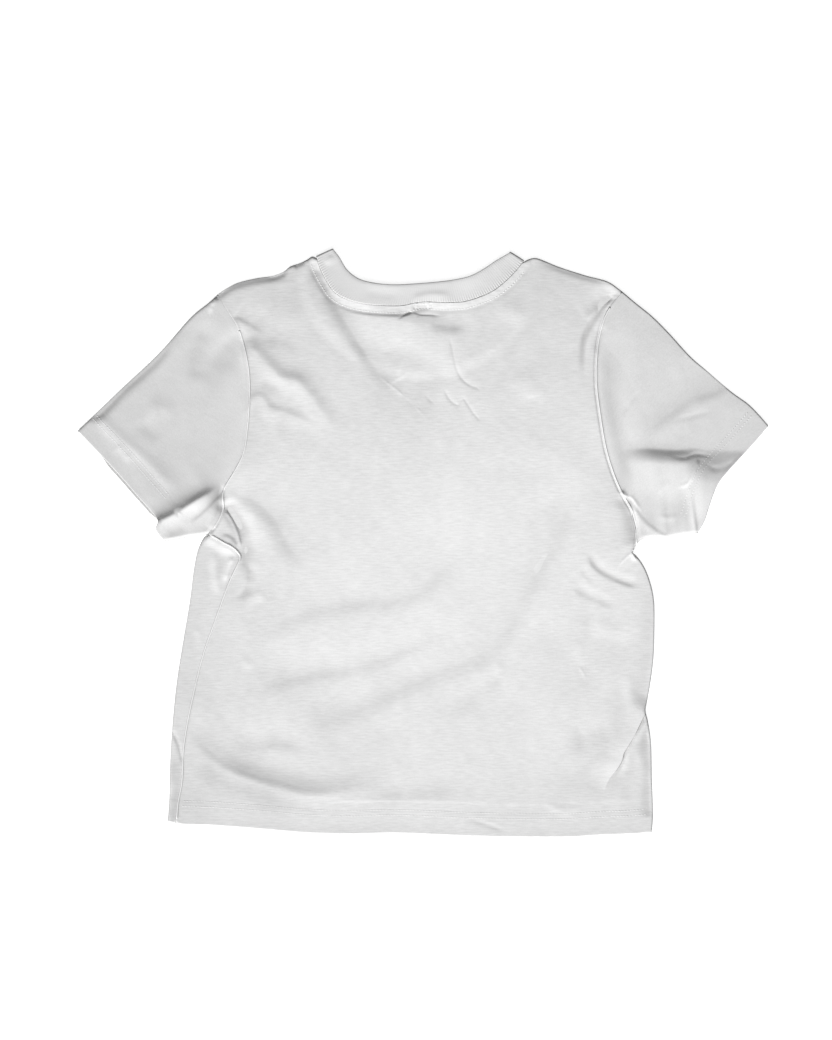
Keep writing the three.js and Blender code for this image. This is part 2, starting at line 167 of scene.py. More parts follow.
def nearest(xy, path, reach):
    # distance from a line, positive on its left, and the share of its length where it is nearest
    square = np.full(len(xy), 1e12)
    side, share = np.ones(len(xy)), np.zeros(len(xy))
    walked = walkedAlong(path)
    lengths = np.hypot(*np.diff(path, axis=0).T)
    for first in range(0, len(lengths), stretch):
        part = path[first:first + stretch + 1]
        near = np.flatnonzero(((xy > part.min(0) - reach) & (xy < part.max(0) + reach)).all(1))
        if not len(near):
            continue
        p, best, facing, found = xy[near], square[near], side[near], share[near]
        for k in range(first, min(first + stretch, len(lengths))):
            way = (path[k + 1] - path[k]) / lengths[k]
            rel = p - path[k]
            run = np.clip(rel @ way, 0, lengths[k])
            gap = ((rel - run[:, None] * way) ** 2).sum(1)
            closer = gap < best
            best[closer] = gap[closer]
            cross = way[0] * rel[closer, 1] - way[1] * rel[closer, 0]
            facing[closer] = np.where(cross < 0, -1, 1)
            found[closer] = (walked[k] + run[closer]) / walked[-1]
        square[near], side[near], share[near] = best, facing, found
    return side * np.sqrt(square), share


def gapTo(xy, path, reach):
    return np.abs(nearest(xy, path, reach)[0])


def smoothStep(t):
    t = np.clip(t, 0, 1)
    return t * t * (3 - 2 * t)


def between(cells, corner, share):
    # value among four neighbouring cells, share being how far on towards the next ones
    i, j = corner.T
    a, b = share.T
    near = cells[i, j] * (1 - a) + cells[i + 1, j] * a
    far = cells[i, j + 1] * (1 - a) + cells[i + 1, j + 1] * a
    return near * (1 - b) + far * b


waves = dict(cells=96, shift=900)


def waver(xy, size, seed):
    # smooth unevenness from about -1 to 1, with bumps of about this size
    grid = np.random.default_rng(seed).uniform(-1, 1, (waves["cells"] + 1, waves["cells"] + 1))
    spot = (xy + waves["shift"]) / size % waves["cells"]
    cell = spot.astype(int)
    return between(grid, cell, smoothStep(spot - cell))


# the outline and the seams, as seen from above
outline = dict(
    leftFold=[(-245, -266), (-243.5, -246), (-242.5, -208), (-240, -169), (-236, -131), (-230, -93),
              (-223.5, -54), (-220, -26), (-216.5, -8), (-213, 1), (-210, 6), (-206, 9)],
    sideSeam=[(-237, -266.5), (-235.5, -248), (-232, -229), (-230, -193), (-221, -145), (-211, -105),
              (-200, -74), (-186, -36), (-177.5, -18), (-176, -13), (-179, -8), (-184, -3.5), (-191, 0),
              (-206, 9)],
    rightSide=[(219.5, -277), (220.5, -262), (219.5, -227), (218.5, -189), (215.5, -169), (213.5, -160),
               (215.5, -149), (218.5, -131), (221, -110), (222, -80), (221.5, -54), (218, -37), (212, -22),
               (205, -12), (201, -8.5)],
    rightArmhole=[(201, -8.5), (203.5, -1), (204.5, 12), (202, 24), (199.5, 32), (192, 45), (186, 57),
                  (176, 86), (169, 124), (165.4, 158), (168, 196), (176, 222), (191, 242)],
    leftArmhole=[(-206, 9), (-198, 20), (-192.5, 32), (-192, 50), (-181, 70), (-173, 86), (-169, 110),
                 (-167, 148), (-169, 174), (-178, 207), (-187, 222), (-197, 239)],
    rightShoulder=[(191, 242), (178, 251), (155, 257.5), (129, 266), (117, 271), (108, 274), (102, 273),
                   (96, 270)],
    leftShoulder=[(-102, 274), (-106, 275.5), (-111, 272.5), (-118, 269), (-127, 266), (-134, 260.5),
                  (-143, 257), (-160, 254.5), (-178, 250), (-187, 245.5), (-197, 239)],
    neck=[(-102, 274), (-99, 264.6), (-92, 251), (-85, 241), (-73, 234), (-58, 230), (-38, 228), (-20, 228),
          (-10, 230), (1, 231.6), (21, 231), (38, 231.6), (51, 235), (67, 242), (81, 253), (90, 262.5),
          (96, 270)],
    neckEdge=[(-85.5, 281.6), (-80, 274.5), (-73, 263), (-61.5, 254), (-45, 249.7), (-28, 248.4), (-12, 249),
              (13, 251), (29, 253), (46, 257), (59, 264), (71, 272), (82.5, 278.5)],
    hem=[(-245, -266), (-233, -269), (-205, -270), (-181, -271.5), (-150, -274), (-122, -276.5), (-95, -278),
         (-69, -278.6), (-35, -277.8), (-10, -278.2), (30, -280), (68, -281.2), (105, -281.6), (142, -281.4),
         (170, -279.6), (198, -278.6), (219.5, -277)],
)
leftSleeveEdges = dict(
    top=[(-197, 239), (-205, 231.5), (-221, 218.5), (-253, 182.5), (-289, 148.5), (-313, 125.5),
         (-331.6, 108)],
    cuff=[(-331.6, 108), (-318, 94), (-301, 76), (-287, 60.5), (-274, 45.5), (-262, 32), (-254, 21.5),
          (-255.8, 14), (-252, 7), (-247, 1.8)],
    underarm=[(-206, 9), (-213, 7.6), (-224, 6.2), (-236, 3.6), (-247, 1.8)],
)
rightSleeveEdges = dict(
    top=[(191, 242), (204, 231), (220, 218), (236, 202), (257, 179), (272, 166), (284, 155.5), (298, 144),
         (312, 134), (322, 124), (331.6, 113)],
    cuff=[(331.6, 113), (317, 96), (306, 84), (291, 68), (283, 58), (278, 47), (274, 35), (270, 22),
          (263.5, 9.8)],
    underarm=[(201, -8.5), (204, -2), (209, 3), (216, 5.4), (228, 5), (246, 7.8), (263.5, 9.8)],
)

levels = dict(
    cloth=0.85, air=1.3, fold=1.0,                      # the two layers meet at fold round an edge
    lowest=1.3, softly=0.3, leastDrop=0.3,              # the upper layer rests softly on the lower one
    pressed=2.05, pressing=0.7, pressedFor=42,          # hems lie flatter than the rest
    hemDepth=21.5, hemExtra=0.12, hemSlope=3, hemFade=5,
    ribExtra=0.7, ribWidth=10, ribFade=14,              # the front neckline shows through a little
    under=1.05, underShare=0.3, underFrom=1.9,          # underside of the upper layer
    swell=dict(at=(0, 0), size=(236, 285), rise=1.9),
    unevenness=((74, 0.95, 3), (31, 0.3, 5), (12, 0.07, 8)),     # size, height, seed
)


def fold(rise, left, right, ends, *at, roundness=2, bulging=False):
    # The points run along the crest or trough. left and right are how far it takes to level out on each
    # side, as walked from the first point. ends is the share of its length over which it rises and dies
    # away, one number where both are the same. With less roundness the crest is keener. A bulging fold
    # bellies out on its left, down to a crisp foot.
    return dict(at=at, rise=rise, left=left, right=right, ends=ends, roundness=roundness, bulging=bulging)


bodyFolds = [
    # left of the neck: a long dark bank below the shoulder, then a keen little crease
    fold(-2.1, 27, 7.8, (0.1, 0.35), (-105, 274), (-97, 257), (-88.5, 240), (-81, 226), (-71, 209),
         (-59.5, 190.5), (-47, 172), (-35, 157), (-26, 146)),
    fold(0.5, 5, 5, (0.2, 0.4), (-101, 262), (-97.5, 246), (-92, 230)),
    fold(0.26, 1.6, 1.4, 0.3, (-46, 165), (-36, 156), (-28, 149.5), (-15, 139), (-1, 125), (6, 116),
         roundness=1.3),
    fold(0.3, 3, 1.6, (0.2, 0.4), (-33, 153), (-22, 159), (-16, 164), (-11, 169)),
    # across the left shoulder blade
    fold(-0.9, 13, 2.6, (0.12, 0.5), (-182, 219), (-174, 216.5), (-166, 212), (-157, 206.5), (-149, 200)),
    fold(1.7, 7.5, 15, (0.14, 0.4), (-176, 194), (-161, 182.5), (-147, 168), (-136, 157.5), (-121, 154),
         (-110, 142), (-99, 126), (-88, 111), (-80, 100)),
    fold(-0.9, 18, 9, (0.2, 0.4), (-172, 200), (-150, 199), (-128, 195), (-112, 188)),
    fold(0.8, 4.2, 9, (0.06, 0.5), (-170, 133), (-162, 139), (-155, 140), (-148, 130), (-129, 123.5),
         (-110, 115), (-98, 107)),
    fold(-0.8, 8, 7, (0.3, 0.4), (-157, 158), (-140, 150), (-128, 146)),
    # left armpit: a lit ridge with a rolled edge on its left, and the bank that rises to its right
    fold(-2.2, 42, 10, (0.25, 0.35), (-190, 62), (-176, 50), (-158, 40), (-143, 26), (-134, 11), (-126, -3),
         (-115, -15), (-106, -24)),
    fold(-2.5, 11, 6, (0.12, 0.4), (-196, 42), (-189, 35.5), (-182.5, 27.5), (-176.5, 17.4), (-172.5, 7.3),
         (-170.5, -2.9), (-170, -12), (-169, -24), (-167, -38)),
    fold(0.7, 1.1, 1.8, 0.15, (-191, 33), (-185, 25.5), (-180, 16), (-176.5, 6), (-174.6, -4)),
    fold(-0.6, 5, 1.6, 0.2, (-193, 10), (-186, 8.5), (-180.5, 4), (-177, -2)),
    fold(1.7, 12, 15, (0.12, 0.2), (-208, 8), (-199, 3.5), (-190, -1.5), (-182, -7), (-177, -14)),
    fold(-1.1, 1.5, 1.2, 0.2, (-191, 34), (-194, 25), (-199, 16), (-205, 9.5)),
    fold(-0.9, 8, 3, (0.25, 0.3), (-166, -16), (-166, -28), (-167.5, -38), (-172, -48), (-179, -55)),
    fold(0.5, 5, 6, 0.4, (-172, -54), (-160, -50), (-148, -50)),
    # three long folds across the belly and a short one beside them
    fold(-1.2, 40, 10.5, (0.22, 0.28), (-176, -90), (-162, -85), (-140, -76), (-117, -65), (-91, -58),
         (-62, -54), (-34, -51), (-15, -48.5), (-1, -42), (14, -30), (27, -14), (40, 3), (52, 24)),
    fold(-1.25, 32, 9.5, (0.2, 0.3), (-170, -142), (-150, -134), (-133, -129), (-115, -125), (-99, -121),
         (-78, -119), (-55, -115), (-39, -109), (-23, -101), (-3, -93), (16, -83), (34, -72)),
    fold(-1.45, 44, 11.5, (0.16, 0.2), (-126, -176), (-104, -171), (-85, -164), (-66, -156), (-46, -148),
         (-22, -136), (-3, -128), (13, -121.5), (33, -115), (52, -107), (67, -95), (79, -82), (89, -67),
         (96, -54), (102, -42), (110, -26), (119, -9), (128, 8), (136, 24), (143, 42), (151, 64)),
    fold(-0.8, 20, 10, (0.3, 0.4), (20, -172), (35, -158), (49, -148), (64, -134), (77, -118), (90, -100)),
    fold(-1.15, 26, 17, 0.3, (88, -62), (100, -42), (112, -22), (124, 2), (135, 24), (144, 46),
         (152, 70)),
    fold(0.6, 9, 10, 0.4, (44, -128), (68, -121), (84, -108)),
    fold(0.3, 4, 5, 0.4, (-177, -108), (-168, -116), (-160, -118)),
    # sweep above the left end of the hem
    fold(-1.1, 25, 6.8, (0.2, 0.55), (-229, -166), (-222, -178), (-213, -188), (-204, -197.5),
         (-192.5, -206.5), (-180.5, -212.8), (-164.5, -219), (-148.5, -224), (-132.5, -228), (-118, -232),
         (-104, -233.4), (-90, -233.4), (-74, -231), (-52, -229), (-28, -228)),
    fold(2.6, 10.5, 80, (0.38, 0.34), (-233, -174), (-226, -186), (-217, -196), (-208, -205.5),
         (-196.5, -214.5), (-184, -221), (-168, -227.5), (-152, -232.5), (-136, -236.5), (-121, -240.5),
         (-106, -242), (-90, -242), (-74, -239.6), (-52, -237.6), (-28, -236.6)),
    fold(-0.8, 13, 7, (0.35, 0.4), (-190, -190), (-160, -191.5), (-136, -189), (-116, -194), (-98, -197)),
    fold(-1.1, 10, 12, (0.25, 0.4), (-222, -196), (-206, -213), (-184, -226), (-160, -234), (-132, -244),
         (-104, -252)),
    fold(-0.8, 16, 9, (0.35, 0.4), (-60, -236), (-20, -238), (20, -234), (54, -236)),
    # thin keen creases between the shoulder blades
    fold(-0.34, 2, 1.2, (0.25, 0.15), (24.5, 201), (27.5, 188), (30, 176), (33, 165), (38, 157), (46, 151),
         (51.5, 149), (55.5, 144), roundness=1.4),
    fold(-0.36, 1.8, 1.2, (0.2, 0.12), (19, 150), (22, 144), (25.5, 138), (30, 134), (34, 132.5), (38.5, 139),
         (42, 134.5), (48.5, 124.5), (55.3, 117.5), roundness=1.4),
    fold(0.3, 2.4, 2.4, 0.4, (-11, 184), (-18, 177), (-22, 168), (-24, 158)),
    fold(-0.2, 1.6, 1.4, 0.4, (1, 143), (7, 137), (12, 132)),
    fold(-0.22, 1.2, 1.8, 0.3, (-22, 146), (-14, 138), (-6, 131), (-2, 127)),
    # under the neck
    fold(-0.8, 0.9, 1.8, (0.1, 0.35), (-11, 222.5), (-15, 220.5), (-19.5, 218), (-25, 214.5)),
    fold(-0.5, 1.8, 0.9, (0.2, 0.3), (-10, 221.6), (-6, 220.4), (-1, 219.3), (6, 219.3), (12, 218.8),
         (18, 217.6)),
    fold(-0.4, 0.9, 0.9, 0.05, (-8.6, 225), (7.7, 225.6)),
    fold(-0.45, 3, 3, 0.1, (-6, 227.6), (5, 228)),
    fold(-0.5, 0.9, 0.9, 0.05, (7.7, 225.6), (7.7, 230.2)),
    fold(-0.5, 0.9, 0.9, 0.05, (-8.6, 229.6), (-8.6, 225)),
    fold(-1.7, 14, 6.5, 0.4, (2, 212), (18, 210.5), (32, 209.5), (48, 212)),
    fold(-1.5, 17, 48, (0.3, 0.35), (-50, 186), (-24, 177), (0, 168), (22, 157), (42, 148)),
    fold(0.8, 12, 12, 0.4, (102, 172), (98, 158), (104, 144), (112, 132)),
    fold(0.6, 9, 9, 0.4, (66, 232), (84, 222), (108, 216)),
    # right shoulder and down the right armhole
    fold(-1.9, 2.8, 9, (0.3, 0.5), (189, 241), (184, 239.5), (178, 236.5), (170, 231), (161, 223.5),
         (154, 218)),
    fold(-1.9, 3, 3.2, (0.06, 0.55), (182, 238), (173.5, 230.5), (167, 220.5), (160.5, 210.2), (156, 199.8),
         (154, 188), (153, 172), (154, 156)),
    fold(-0.8, 4, 4, (0.3, 0.4), (174, 210), (171, 202), (168, 192), (166, 180)),
    # right armpit
    fold(-0.85, 5, 2.3, (0.2, 0.25), (157, -6), (160.5, -14), (165.5, -21.8), (173.5, -28), (183, -32.7),
         (192.5, -36.8), (203, -39.5), (212, -40)),
    fold(0.6, 1.1, 1.3, (0.1, 0.4), (206, -4), (199.5, -9.4), (192.3, -15.8), (185.9, -25.4)),
    fold(1.6, 1.6, 1.6, (0.2, 0.3), (203, -5), (201.5, -11), (204, -17)),
    fold(-1.8, 2, 10, 0.2, (196, 50), (200, 36), (203.5, 22), (205, 10), (204, -2)),
    fold(-0.28, 4, 2.2, 0.3, (150, -22), (153.5, -27), (158, -32.5), (165, -37.5)),
    fold(-0.55, 6, 4, (0.2, 0.4), (143, -39), (148.5, -44), (159, -49.5), (170, -54.5), (180, -58),
         (190, -58)),
    fold(0.6, 9, 8, 0.35, (161, -66), (170, -78), (181, -85), (194, -85), (205, -75), (214, -68)),
    fold(0.22, 1.6, 1.4, (0.35, 0.4), (149, -117), (153, -123.5), (158, -130.5)),
    fold(0.25, 5, 6, 0.4, (147, -88), (150, -104), (151, -118)),
    fold(0.6, 5, 7, 0.4, (196, -120), (199, -146), (201, -168)),
    # tuck at the right end of the hem: the back lies over the side here
    fold(2.5, 0.7, 16, (0.16, 0.3), (219, -148), (213.3, -161.8), (208.3, -171.6), (203.5, -181.8),
         (198.7, -190), (192.3, -200.8), (191, -206.5), (186, -215.4), (179.5, -223.8), (176, -230.5),
         (173, -239)),
    fold(1.9, 4.5, 1.8, (0.15, 0.35), (220, -156), (214.3, -168.6), (209.5, -177.8), (204.2, -187),
         (197.1, -200.5), (194.5, -208), (190, -217.4), (183, -227)),
    fold(0.35, 5, 6, (0.3, 0.45), (199, -189), (206, -201), (212, -216), (214, -236)),
    fold(-0.8, 14, 12, 0.4, (134, -196), (158, -184), (186, -180)),
    fold(0.35, 4, 5, 0.35, (112, -249), (128, -254), (142, -256), (156, -251)),
    fold(-0.35, 1.8, 1.8, 0.3, (42, -263), (56, -268), (68, -272), (82, -277.5)),
]
sideRolls = [
    fold(-0.4, 4.5, 9, (0.12, 0.2), (212, -10), (217, -28), (219, -54), (218.5, -82), (216, -112),
         (213, -132), (210, -150)),
    fold(-0.9, 4, 6, (0.2, 0.1), (212, -172), (214.5, -190), (216, -226), (216.5, -264)),
]
leftStripFolds = [
    fold(-0.75, 2.2, 1.4, (0.12, 0.3), (-243, -177), (-240, -181.6), (-235, -192), (-232, -204),
         (-231, -213)),
    fold(1.2, 2, 4.5, (0.2, 0.4), (-181, -11), (-184.5, -20), (-188, -31), (-192, -42)),
    fold(0.9, 4, 5, (0.3, 0.35), (-199, -4), (-199.5, -22), (-198, -39), (-196, -52)),
    fold(0.3, 4, 4, (0.3, 0.35), (-218, -76), (-214, -90), (-213, -104)),
    fold(2.6, 7, 2, (0.4, 0.02), (-241, -206), (-243, -230), (-244.5, -250), (-245.5, -274)),
]
leftSleeveFolds = [
    # deep fold running in from the lower end of the cuff, with the flap below it
    fold(7.2, 5.4, 24, (0.04, 0.34), (-274, 8), (-262, 14.5), (-253.5, 20), (-243, 25), (-232, 31),
         (-217, 40.5), (-203, 49), (-192, 56), roundness=1.5),
    fold(1.6, 26, 12, (0.25, 0.3), (-270, 22), (-250, 34), (-228, 46), (-206, 60), (-188, 70)),
    fold(-0.9, 4, 1.5, (0.25, 0.1), (-224, 19.5), (-215, 27), (-207.9, 33.4), (-198, 44), (-189, 54.4)),
    fold(0.7, 4, 6, (0.1, 0.2), (-204, 14), (-202, 26), (-197, 36), (-191, 47)),
    fold(-0.5, 4, 4, (0.3, 0.4), (-244, 8), (-232, 14), (-224, 15)),
    # a rolled edge along the top, and a soft line behind the cuff stitching
    fold(-2.3, 5.6, 2.4, (0.45, 0.12), (-222, 216.5), (-238, 199), (-252.5, 181.5), (-270.5, 165),
         (-289, 147), (-305, 131.5), (-322, 116)),
    fold(0.8, 6, 6, (0.15, 0.2), (-318, 125), (-310.8, 119.9), (-299, 108), (-280.4, 91.9), (-261.7, 75.5),
         (-245.3, 59), (-234, 50)),
    fold(0.9, 2.4, 2.4, (0.1, 0.5), (-199, 236), (-202.5, 228), (-205, 219)),
    fold(-1.3, 12, 8, (0.3, 0.4), (-206, 216), (-211, 202), (-215, 186), (-217.6, 171), (-220, 152)),
    fold(-1.6, 16, 9, (0.2, 0.45), (-168, 206), (-178, 196), (-189, 186), (-198, 174), (-204, 160),
         (-207, 142)),
    fold(0.6, 9, 8, 0.4, (-270, 126), (-252, 128), (-234, 124)),
    fold(-0.5, 7, 7, 0.4, (-276, 118), (-262, 108), (-250, 98)),
    fold(0.5, 4, 4, 0.3, (-300, 88), (-292, 92), (-284, 84), (-276, 80)),
]
rightSleeveFolds = [
    # deep fold running in from the cuff, with a lit bank below it
    fold(5, 15, 30, (0.4, 0.3), (188, 75), (204, 76), (218, 76.5), (232, 75.5), (246, 75), (258, 76),
         (268, 78), bulging=True),
    fold(-0.5, 1.8, 1.8, 0.3, (236, 84), (250, 82), (262, 85.5), (280, 83)),
    fold(6.5, 33, 42, (0.28, 0.03), (246, 60), (256, 59), (266, 57), (276, 56), (288, 56), (304, 56.5),
         (330, 59), bulging=True),
    fold(0.9, 1.5, 1.9, (0.15, 0.35), (265, 80), (262.7, 76), (259.5, 68), (254.5, 58.5), (248, 54.5),
         (241.8, 53)),
    fold(-0.5, 2.2, 3, 0.3, (270, 76), (279, 72), (290, 74), (300, 80)),
    fold(0.3, 3, 2.4, (0.3, 0.35), (237, 62), (233, 56), (229.5, 52.5), (226, 46)),
    fold(-1.7, 7, 22, (0.04, 0.4), (292, 160), (285, 153), (270, 146.5), (259, 143), (246, 134), (227, 119),
         (212, 107), (204, 98)),
    fold(-0.3, 1.8, 1.8, (0.3, 0.35), (208.6, 147), (201, 138), (195, 129.7), (191.3, 119.8)),
    fold(-0.35, 2.6, 2.2, 0.4, (236, 116), (258, 122), (280, 128)),
    fold(-1.7, 13, 8, (0.2, 0.25), (182, 205), (180, 180), (181, 150), (185, 120), (191, 94), (199, 72),
         (208, 54)),
    # creases fanning out of the underarm
    fold(0.6, 1.9, 4.5, (0.1, 0.15), (190, 54), (197, 39), (203, 31), (211.4, 21), (221, 13), (229, 8),
         (240, 2)),
    fold(0.7, 1.8, 1.3, (0.1, 0.5), (188, 50), (194, 46), (200, 43.5), (206, 36), (212, 28.7)),
    fold(0.4, 3, 2.4, (0.3, 0.4), (246, 26), (236, 24.5), (224, 26)),
    fold(1.7, 26, 14, (0.3, 0.1), (222, 10), (240, 13), (264, 16)),
]
# the shoulder edges roll up a little, with a narrow dip behind the roll
shoulderRoll = [
    fold(-1.9, 2, 4.2, 0.1, (-205, 233), (-196, 240), (-187, 245.5), (-178, 249.5), (-160, 254),
         (-144, 256.5), (-136, 260), (-128, 265.5)),
    fold(-1, 1.6, 2.6, (0.15, 0.3), (-124, 266), (-119, 268), (-112, 271.5)),
    fold(-0.6, 2, 3, 0.2, (112, 272), (129, 265), (155, 256.5), (178, 250)),
]

wander = dict(share=0.25, size=30, seed=11, span=180, apart=37.0)     # a fold's height wanders along it
straight = 0.8                # a fold whose ends are this far apart, for its length, counts as straight
guides = dict(keenest=2.7, step=1.1, apart=(-1.5, -0.75, 0, 0.75, 1.5), stitching=(-1.3, 0, 1.3))


def foldHeight(xy, folds):
    total = np.zeros(len(xy))
    for number, crease in enumerate(folds):
        reach = 3 * max(crease["left"], crease["right"])
        away, along = nearest(xy, smoothLine(crease["at"], 3), reach)
        flank = np.abs(away) / np.where(away > 0, crease["left"], crease["right"])
        path = np.array(crease["at"], float)
        chord = path[-1] - path[0]
        if np.hypot(*chord) > straight * np.hypot(*np.diff(path, axis=0).T).sum():
            along = (xy - path[0]) @ chord / (chord @ chord)
        rise, fall = np.broadcast_to(crease["ends"], 2)
        strength = smoothStep(along / rise) * smoothStep((1 - along) / fall)
        run = np.clip(along, 0, 1) * wander["span"]
        spots = np.column_stack([run, np.full(len(xy), number * wander["apart"])])
        strength *= 1 + wander["share"] * waver(spots, wander["size"], wander["seed"])
        shape = np.exp(-flank ** crease["roundness"])
        if crease["bulging"]:
            shape = np.where(away > 0, np.clip(1 - flank ** 2, 0, 1) ** 1.5, shape)
        total += crease["rise"] * strength * shape
    return total


def carriedOver(xy, seam, folds, fade):
    # folds run on a little way past a seam, so that both pieces stand equally high along it
    away = gapTo(xy, seam, fade + 1)
    near = away < fade
    total = np.zeros(len(xy))
    total[near] = foldHeight(xy[near], folds) * (1 - smoothStep(away[near] / fade))
    return total


def guideLines(folds):
    # lines of points that keep the keen folds crisp
    found = []
    for crease in folds:
        keen = min(crease["left"], crease["right"])
        if keen < guides["keenest"]:
            path = smoothLine(crease["at"], guides["step"])
            found += [offset(path, share * keen) for share in guides["apart"]]
    return found


leftCuffTop = leftSleeveEdges["cuff"][:7]
turnedUp = [smoothLine(points, 4) for points in (outline["hem"], leftCuffTop, rightSleeveEdges["cuff"])]
frontNeck = dict(drop=95, ribDrop=82, narrowing=0.1, bluntness=0.85, points=90, step=1.5)


def scoop(start, end, drop):
    # the front neckline: from shoulder to shoulder, hanging lower than the back one
    start, end = np.array(start), np.array(end)
    angle = np.linspace(0, math.pi, frontNeck["points"])
    half = np.hypot(*(end - start)) / 2 * (1 - frontNeck["narrowing"] * np.sin(angle) ** 2)
    middle = (start + end) / 2
    level = start[1] + (end[1] - start[1]) * angle / math.pi
    low = level - drop * np.sin(angle) ** frontNeck["bluntness"]
    return evenly(np.column_stack([middle[0] - np.cos(angle) * half, low]), frontNeck["step"])


frontNeckSeam = scoop(outline["neck"][0], outline["neck"][-1], frontNeck["drop"])
frontNeckEdge = scoop(outline["neckEdge"][0], outline["neckEdge"][-1], frontNeck["ribDrop"])


def upperLevel(xy):
    # top of the upper layer before any fold of its own
    c, swell = levels, levels["swell"]
    away = np.hypot(*((xy - swell["at"]) / swell["size"]).T)
    height = 2 * c["cloth"] + c["air"] + swell["rise"] * np.clip(1 - away ** 4, 0, 1)
    overRib = np.minimum(*(gapTo(xy, path, 40) for path in (frontNeckSeam, frontNeckEdge)))
    height += c["ribExtra"] * (1 - smoothStep((overRib - c["ribWidth"]) / c["ribFade"]))
    for size, rise, seed in c["unevenness"]:
        height += rise * waver(xy, size, seed)
    for path in turnedUp:
        away = gapTo(xy, path, 30)
        height += c["pressing"] * (c["pressed"] - height) * (1 - smoothStep(away / c["pressedFor"]))
        height += c["hemExtra"] * (1 - smoothStep((away - c["hemDepth"] + c["hemSlope"]) / c["hemFade"]))
    return height


def roundedOff(xy, height, edges):
    # brings the cloth down over its edges: each is (line, the most it drops there, radius)
    low, soft = levels["lowest"], levels["softly"]
    height = low + soft * np.logaddexp(0, (height - low) / soft)
    drop = np.zeros(len(xy))
    for path, most, radius in edges:
        away = gapTo(xy, path, radius + 1)
        full = np.minimum(np.maximum(height - levels["fold"], levels["leastDrop"]), most)
        drop = np.maximum(drop, full * (1 - np.sqrt(1 - (1 - np.clip(away / radius, 0, 1)) ** 2)))
    return height - drop


print("lines ready")

mesh = dict(
    fine=1.25,        # grid where the cloth creases, and twice that elsewhere
    rings=(0.25, 0.6, 1.1, 1.8, 2.7, 3.8),       # how far in the rows of points along the rim lie
    hidden=7.0, hiddenRings=(1.0, 3.0), hiddenFrom=4,
    ringShare=0.93,                              # points nearer than this share of it are dropped
    gridFrom=0.6, guideFrom=0.5,                 # beyond the last ring
    guideGap=0.55,                               # share of a cell that is kept free beside a guide line
    creased=0.012,                               # bend over one cell that calls for the fine grid
    around=8,                                    # how far round a point the cloth is averaged for the painted fold shade
    rimWidth=3.2, rimFade=3,                     # near the rim a point hardly counts as lying low or high
    atRim=0.35, inside=9,                        # the most it counts for there, and further in
    look=8, rim=1.5, weld=1e-5,
)


def closedUp(loop):
    return np.vstack([loop, loop[:1]])


def insideOf(xy, loop):
    inside = np.zeros(len(xy), bool)
    x, y = xy.T
    for (x0, y0), (x1, y1) in zip(loop, np.roll(loop, -1, 0)):
        crosses = (y0 > y) != (y1 > y)
        if y0 != y1:
            inside ^= crosses & (x < (x1 - x0) * (y - y0) / (y1 - y0) + x0)
    return inside


def gridIn(loop, step):
    low, high = loop.min(0), loop.max(0)
    xs, ys = np.arange(low[0], high[0], step), np.arange(low[1], high[1], step)
    gx, gy = np.meshgrid(xs, ys, indexing="ij")
    return np.column_stack([gx.ravel(), gy.ravel()]), (len(xs), len(ys))


def ringsIn(loop, distances):
    closed = closedUp(loop)
    inward = offset(np.vstack([loop[-1:], closed, loop[1:2]]), 1)[1:-2] - loop
    found = []
    for distance in distances:
        ring = loop + inward * distance
        away = gapTo(ring, closed, distance + 5)
        found.append(ring[(away > mesh["ringShare"] * distance) & insideOf(ring, loop)])
    return np.vstack(found)


def triangulate(loop, inner):
    points = [Vector(p) for p in np.vstack([loop, inner])]
    verts, _, faces, *_ = geometry.delaunay_2d_cdt(points, [], [list(range(len(loop)))], 1, mesh["weld"])
    return np.array([tuple(v) for v in verts]), [tuple(f) for f in faces]


def blurred(values, known, spread):
    # soft average of the known cells round each cell
    reach = int(3 * spread) + 1
    weights = np.exp(-0.5 * (np.arange(-reach, reach + 1) / spread) ** 2)

    def run(cells, axis):
        count = cells.shape[axis]
        wide = np.pad(cells, [(reach, reach) if k == axis else (0, 0) for k in (0, 1)])
        return sum(w * np.take(wide, np.arange(count) + k, axis) for k, w in enumerate(weights))

    total = run(run(known.astype(float), 0), 1)
    return run(run(np.where(known, values, 0), 0), 1) / np.maximum(total, 1e-12)


def sampled(cells, spots):
    # value between the cells, spots counted in cells
    low = np.clip(spots.astype(int), 0, np.array(cells.shape) - 2)
    return between(cells, low, np.clip(spots - low, 0, 1))


def creasedCells(h, known):
    # cells where the cloth bends sharply, and their neighbours
    bend = np.zeros_like(h)
    for b, z, k in ((bend, h, known), (bend.T, h.T, known.T)):
        b[1:-1] += np.abs(z[2:] + z[:-2] - 2 * z[1:-1]) * (k[2:] & k[:-2] & k[1:-1])
    creased = bend > mesh["creased"]
    wide = creased.copy()
    for w, c in ((wide, creased), (wide.T, creased.T)):
        w[1:] |= c[:-1]
        w[:-1] |= c[1:]
    return wide


